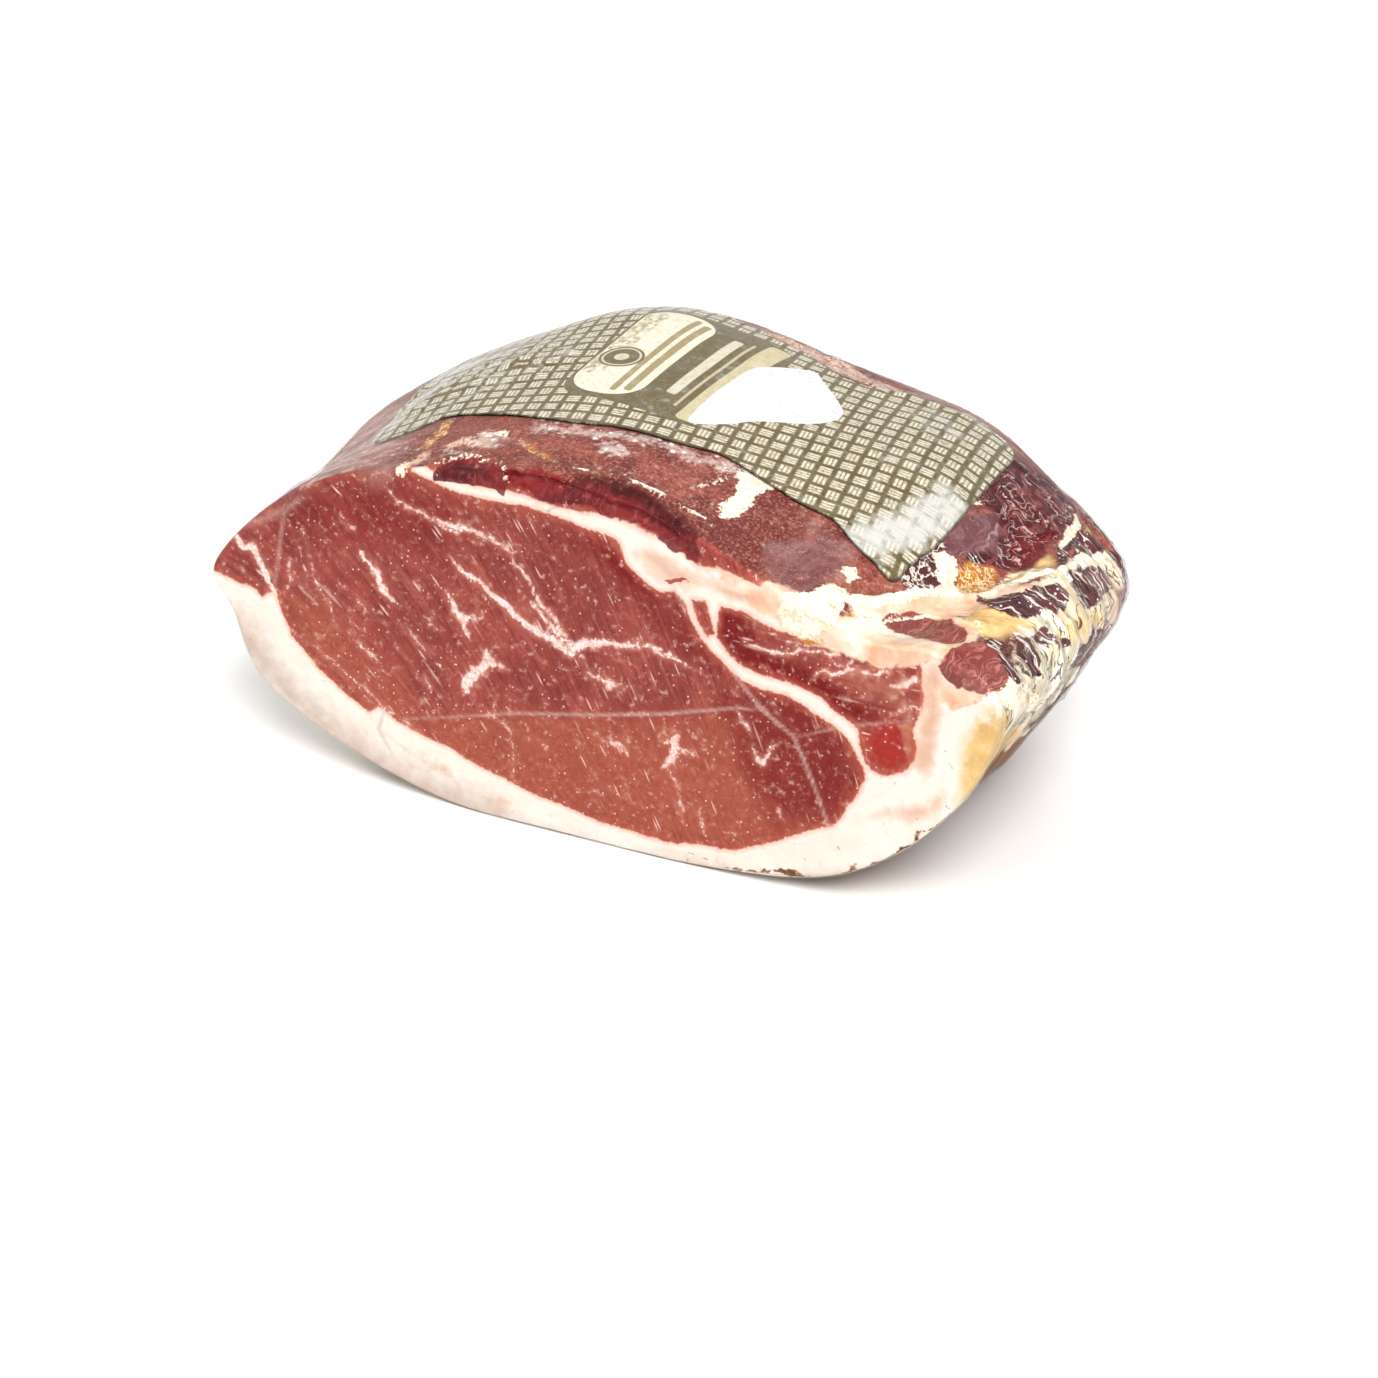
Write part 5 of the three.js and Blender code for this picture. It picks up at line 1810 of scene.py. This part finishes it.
@dataclass
class PrintedPanel:
    """The printed part of the bag on the ham's upper side: flat ink under a clear gloss.

    Its outline and marks are placed in plan, across and along the depth.
    """

    meat: MeatPieces
    stand_off: float = 0.6
    thickness: float = 0.35
    lowest: float = 78.0
    highest: float = 180.0  # above the whole ham
    weave: float = 5.4
    turn: float = 10.0
    wave: Bumps = Bumps(15.0, 0.25, 43)
    outline: Path = (
        (40, 44), (42, 28), (50, 23.5), (60, 26.5), (67, 31), (79, 31), (93, 30), (111, 29.5), (127, 33),
        (145, 36), (157, 39), (172, 36), (187, 33), (197, 33), (206, 28.5), (213, 26.5), (220, 26),
        (222, 34), (224, 50), (224, 70), (222, 96), (218, 118), (203, 126), (177, 118), (163, 113),
        (146, 121), (127, 125), (96, 131), (64, 128), (42, 112), (36, 76),
    )
    printed_from: float = 66.0  # left of this the print fades out and the edge is torn
    blank: Path = (
        (142, 48), (140, 56), (139.5, 70), (140, 90), (143, 97), (153, 108), (160, 103), (171, 92),
        (174.5, 86), (174, 79), (169, 72), (157, 63), (151, 55),
    )
    label: tuple[InkBlock, ...] = (
        InkBlock("#665A3D", (121, 81), (25, 35), 9),
        InkBlock("#DED7C3", (109, 81), (12, 32), 11),
        InkBlock("#A3966F", (101, 84), (3.6, 24), 3, speckled=True),
        InkBlock("#9A8A62", (113, 81), (1.1, 29), 1),
        InkBlock("#9A8A62", (117, 81), (1.3, 27), 1),
        InkBlock("#C2B793", (140, 81), (3.6, 33), 2),
        InkBlock("#CBC4AF", (129, 83), (1.7, 23), 1),
        InkBlock("#BDB18F", (133.5, 81), (0.5, 27), 0.4),
        InkBlock("#665A3D", (105, 73), (7.2, 7.2), 7.2),
        InkBlock("#CBC1A4", (105, 73), (6.3, 6.3), 6.3),
        InkBlock("#665A3D", (105, 73), (5.6, 5.6), 5.6),
        InkBlock("#CBC1A4", (105, 73), (2.4, 2.4), 2.4),
    )
    crinkled: Marks = (Line(((30, 52), (48, 50), (76, 70)), 13.0, 14.0, 1.0, False),)
    stretched: Marks = (
        Line(((42, 86), (54, 88), (66, 90)), 2.4, 2.0),
        Line(((48, 68), (60, 71), (72, 78)), 1.6, 1.6, 0.9),
        Line(((44, 44), (54, 46), (62, 52)), 1.0, 1.8, 0.6),
    )
    # cloudy white crinkled film at the left end, and painted glare at the right end
    milk_and_glare: Marks = (
        Line(((38, 30), (42, 44), (48, 58), (46, 76)), 5.0, 9.0, 0.8, False),
        Line(((42, 60), (56, 64), (70, 72)), 0.9, 1.6, 0.9),
        Line(((38, 78), (52, 80), (66, 84)), 0.9, 1.4, 0.9),
        Line(((48, 50), (60, 52), (74, 60)), 0.7, 1.4, 0.8),
        Line(((36, 96), (52, 99), (68, 102)), 1.4, 2.6, 0.8),
        Line(((56, 26), (70, 44), (88, 76)), 2.0, 4.0, 0.35),
        # painted highlight: the broad glare at the panel's right end
        Line(((208, 30), (216, 44), (220, 66)), 6.0, 5.0, 0.95, False),
        Line(((205, 100), (190, 112)), 7.0, 8.0, 0.3),
    )

    def shell(self, extra: float) -> Solid:
        """Makes a solid that stands off the ham; every shell has the same crinkles.

        Args:
            extra: how far it stands off, in mm.

        Returns:
            The solid's object.
        """
        mean = self.meat.skin(self.stand_off, 0.0).reshape(-1, 3)
        broad = ridges(mean * np.array([0.45, 1.5, 1.0]), 7.0, 41, 3)
        small = ridges(mean * np.array([0.6, 2.6, 1.0]), 5.0, 42, 3)
        lift = painted(self.crinkled, mean[:, :2]) * (1.5 * broad + 0.8 * small) + self.wave.at(mean)
        lift *= smooth_step(mean[:, 2], self.lowest, self.lowest + 8)
        points = self.meat.skin(extra, 0.0)
        points[..., 2] += lift.reshape(points.shape[:2])
        return self.meat.closed("shell", points, 0.0)

    def build(self) -> None:
        """Makes and dresses the panel."""
        outline = rounded(self.outline, 6)
        outer = self.shell(self.stand_off + self.thickness)
        inner = self.shell(self.stand_off)
        leaf = Workshop.carve(outer, inner, Cut.TAKE_AWAY, "leaf")
        prism = Workshop.run_through("panel_prism", outline, 2, self.lowest, self.highest)
        panel = Workshop.carve(leaf, prism, Cut.KEEP_INSIDE, "bag_print_piece")
        Workshop.scrap(outer, inner, leaf, prism)
        plan = Workshop.measure(panel.data)[:, :2]
        a = math.radians(self.turn)
        fields = {
            "across": plan[:, 0],
            "deep": plan[:, 1],
            "weave_u": (plan[:, 0] * math.cos(a) + plan[:, 1] * math.sin(a)) / self.weave,
            "weave_v": (plan[:, 1] * math.cos(a) - plan[:, 0] * math.sin(a)) / self.weave,
            "haze": painted(self.milk_and_glare, plan),
            "stretched": painted(self.stretched, plan),
            "edge": signed_distance(plan, outline) - 4.0 * smooth_step(plan[:, 0], self.printed_from, 60.0),
            "blank": -signed_distance(plan, rounded(self.blank, 4)),
        }
        Workshop.give_fields(panel.data, fields)
        Workshop.finish_piece(panel, Node.BAG_PRINT, self.material())

    def material(self) -> Finish:
        """Builds the printed film's material: a plain weave, a plain banded label and a blank field.

        Returns:
            The finished material.
        """
        dye = Dye("shrink film, reverse printed and glossy")
        colour = dye.lay("#685B3C", (Layer("", "#574A2F", pattern=Pattern.CLOUD),))
        blank = dye.add("MapRange", {0: dye.field("blank"), 1: -PRINT_EDGE, 2: PRINT_EDGE})
        inks = [(self.bars(dye), "#D6CDB6")]
        inks += [(block.mask(dye), block.colour) for block in self.label]
        inks += [(blank, "#DFE0E1")]
        for mask, ink in inks:
            colour = dye.add("Mix", {0: mask, 6: colour, 7: linear_colour(ink)}, 2, data_type="RGBA")
        wear_and_glare = (
            Layer("", "#94886A", full=0.3, pattern=Pattern.MARBLE),
            Layer("stretched", "#7C7250", 0.2, 0.9, 0.95, 0.4, 2.2),
            # partly cloudy white film, partly painted glare
            Layer("haze", "#C9C8C2", 0.1, 1.0, 0.9, 0.9, 5.0),
            Layer("edge", "#2E2A1E", -0.5, -0.15, 0.65, 0.1, 1.0),
        )
        bump = {"Strength": 0.35, "Distance": 0.35 * MILLIMETRE, "Height": dye.noise(5.0)}
        sockets = {
            "Base Color": dye.lay(colour, wear_and_glare),
            "Roughness": dye.add("MapRange", {0: dye.noise(5.0), 1: 0.3, 2: 0.7, 3: 0.22, 4: 0.34}),
            "IOR": 1.45,
            "Normal": dye.add("Bump", bump),
        }
        return dye.surface("BsdfPrincipled", sockets)

    def bars(self, dye: Dye) -> Socket:
        """Draws a plain basket weave of short bars, four to a cell, turned from cell to cell.

        Args:
            dye: the material in the making.

        Returns:
            The mask output.
        """
        fields = [dye.field(name) for name in ("weave_u", "weave_v")]
        whole = [dye.add("Math", {0: place}, operation="FLOOR") for place in fields]
        part = [dye.add("Math", {0: place}, operation="FRACT") for place in fields]
        cell = dye.add("Math", dict(enumerate(whole)), operation="ADD")
        turned = dye.add("Math", {0: cell, 1: 2.0}, operation="FLOORED_MODULO")
        along, across = (
            dye.add("Mix", {0: turned, 2: part[i], 3: part[1 - i]}, data_type="FLOAT") for i in (0, 1)
        )
        rows = dye.add("Math", {0: across, 1: 4.2, 2: 0.4}, operation="MULTIPLY_ADD")
        bar = dye.add("Math", {0: rows}, operation="FRACT")
        mask = dye.add("MapRange", {0: dye.noise(1.0), 1: 0.36, 2: 0.5, 3: 0.35, 4: 1.0})
        for place, half, low in ((along, 0.37, 0.0), (across, 0.36, 0.0), (bar, 0.32, 0.35)):
            sockets = {0: dye.apart(place, 0.5), 1: half + 0.05, 2: half - 0.05, 3: low, 4: 1.0}
            mask = dye.add("Math", {0: mask, 1: dye.add("MapRange", sockets)}, operation="MULTIPLY")
        return mask


@dataclass
class Studio:
    """A pale table, soft light from all round and the photograph's viewing angle."""

    azimuth: float = 28.0
    elevation: float = 26.0
    distance: float = 1.15
    field_of_view: float = 20.0
    target: tuple[float, float, float] = (167.306, 0.0, 59.153)
    sensor: float = 36.0  # full-frame width in mm
    table_reach: float = 4000.0
    table_drop: float = 0.3  # keeps the table top just clear of the ham
    depth_of_tone: float = 0.94  # under one deepens the middle tones, as a print does

    def back(self) -> Vector:
        """Points from the ham to the camera."""
        a, e = math.radians(self.azimuth), math.radians(self.elevation)
        return Vector((math.sin(a) * math.cos(e), -math.cos(a) * math.cos(e), math.sin(e)))

    def build(self) -> None:
        """Sets up the table, the lights and the camera."""
        scene = bpy.context.scene
        scene.view_settings.view_transform = "Standard"
        scene.view_settings.gamma = self.depth_of_tone
        self.table()
        self.sky()
        self.lamp("key", (0.6, -0.75, 1.0), 26.0, 3.0)
        self.lamp("fill", (-0.8, -0.7, 0.5), 50.0, 0.35)
        data = bpy.data.cameras.new("camera")
        data.sensor_width = self.sensor
        data.lens = self.sensor / 2 / math.tan(math.radians(self.field_of_view) / 2)
        data.clip_start = 0.01
        camera = bpy.data.objects.new("camera", data)
        scene.collection.objects.link(camera)
        target = Vector(Workshop.place(np.array([self.target]))[0])
        camera.location = target + self.back() * self.distance
        camera.rotation_mode = "QUATERNION"
        camera.rotation_quaternion = (-self.back()).to_track_quat("-Z", "Y")
        scene.camera = camera

    def table(self) -> None:
        """Lays a white table top under the ham."""
        reach = self.table_reach
        corners = ((-reach, -reach), (reach, -reach), (reach, reach), (-reach, reach))
        points = np.array([(*corner, -self.table_drop) for corner in corners])
        top = Workshop.mesh_object("table_top", points, [np.array([[0, 1, 2, 3]])])
        dye = Dye("white laminate table, smooth")
        rough = dye.add("MapRange", {0: dye.noise(400.0), 1: 0.0, 2: 1.0, 3: 0.32, 4: 0.42})
        sockets = {"Base Color": linear_colour("#F2F2F2"), "Roughness": rough}
        top.data.materials.append(dye.surface("BsdfPrincipled", sockets))

    def sky(self) -> None:
        """Surrounds the ham with even white light."""
        world = bpy.data.worlds.new("studio")
        world.use_nodes = True
        world.node_tree.nodes.clear()
        glow = add_node(world.node_tree, "Background", {"Color": (1, 1, 1, 1), "Strength": 0.8})
        add_node(world.node_tree, "OutputWorld", {"Surface": glow})
        bpy.context.scene.world = world

    def lamp(self, name: str, place: tuple[float, float, float], spread: float, power: float) -> None:
        """Sets a far soft light that shines evenly over the table.

        Args:
            name: the lamp's name.
            place: the side that it shines from.
            spread: how wide it looks from the ham, in degrees.
            power: its strength in watts for each square metre.
        """
        data = bpy.data.lights.new(name, "SUN")
        data.angle = math.radians(spread)
        data.energy = power
        lamp = bpy.data.objects.new(name, data)
        bpy.context.scene.collection.objects.link(lamp)
        lamp.location = place
        lamp.rotation_mode = "QUATERNION"
        lamp.rotation_quaternion = (-Vector(place)).to_track_quat("-Z", "Y")


def main() -> None:
    """Builds the scene."""
    logging.basicConfig(level=logging.INFO, format="%(name)s %(message)s")
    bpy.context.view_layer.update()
    meat = MeatPieces(HamForm(), CutFace(), Outside())
    meat.build()
    ClearFilm(meat).build()
    PrintedPanel(meat).build()
    Studio().build()


if __name__ == "__main__":
    main()
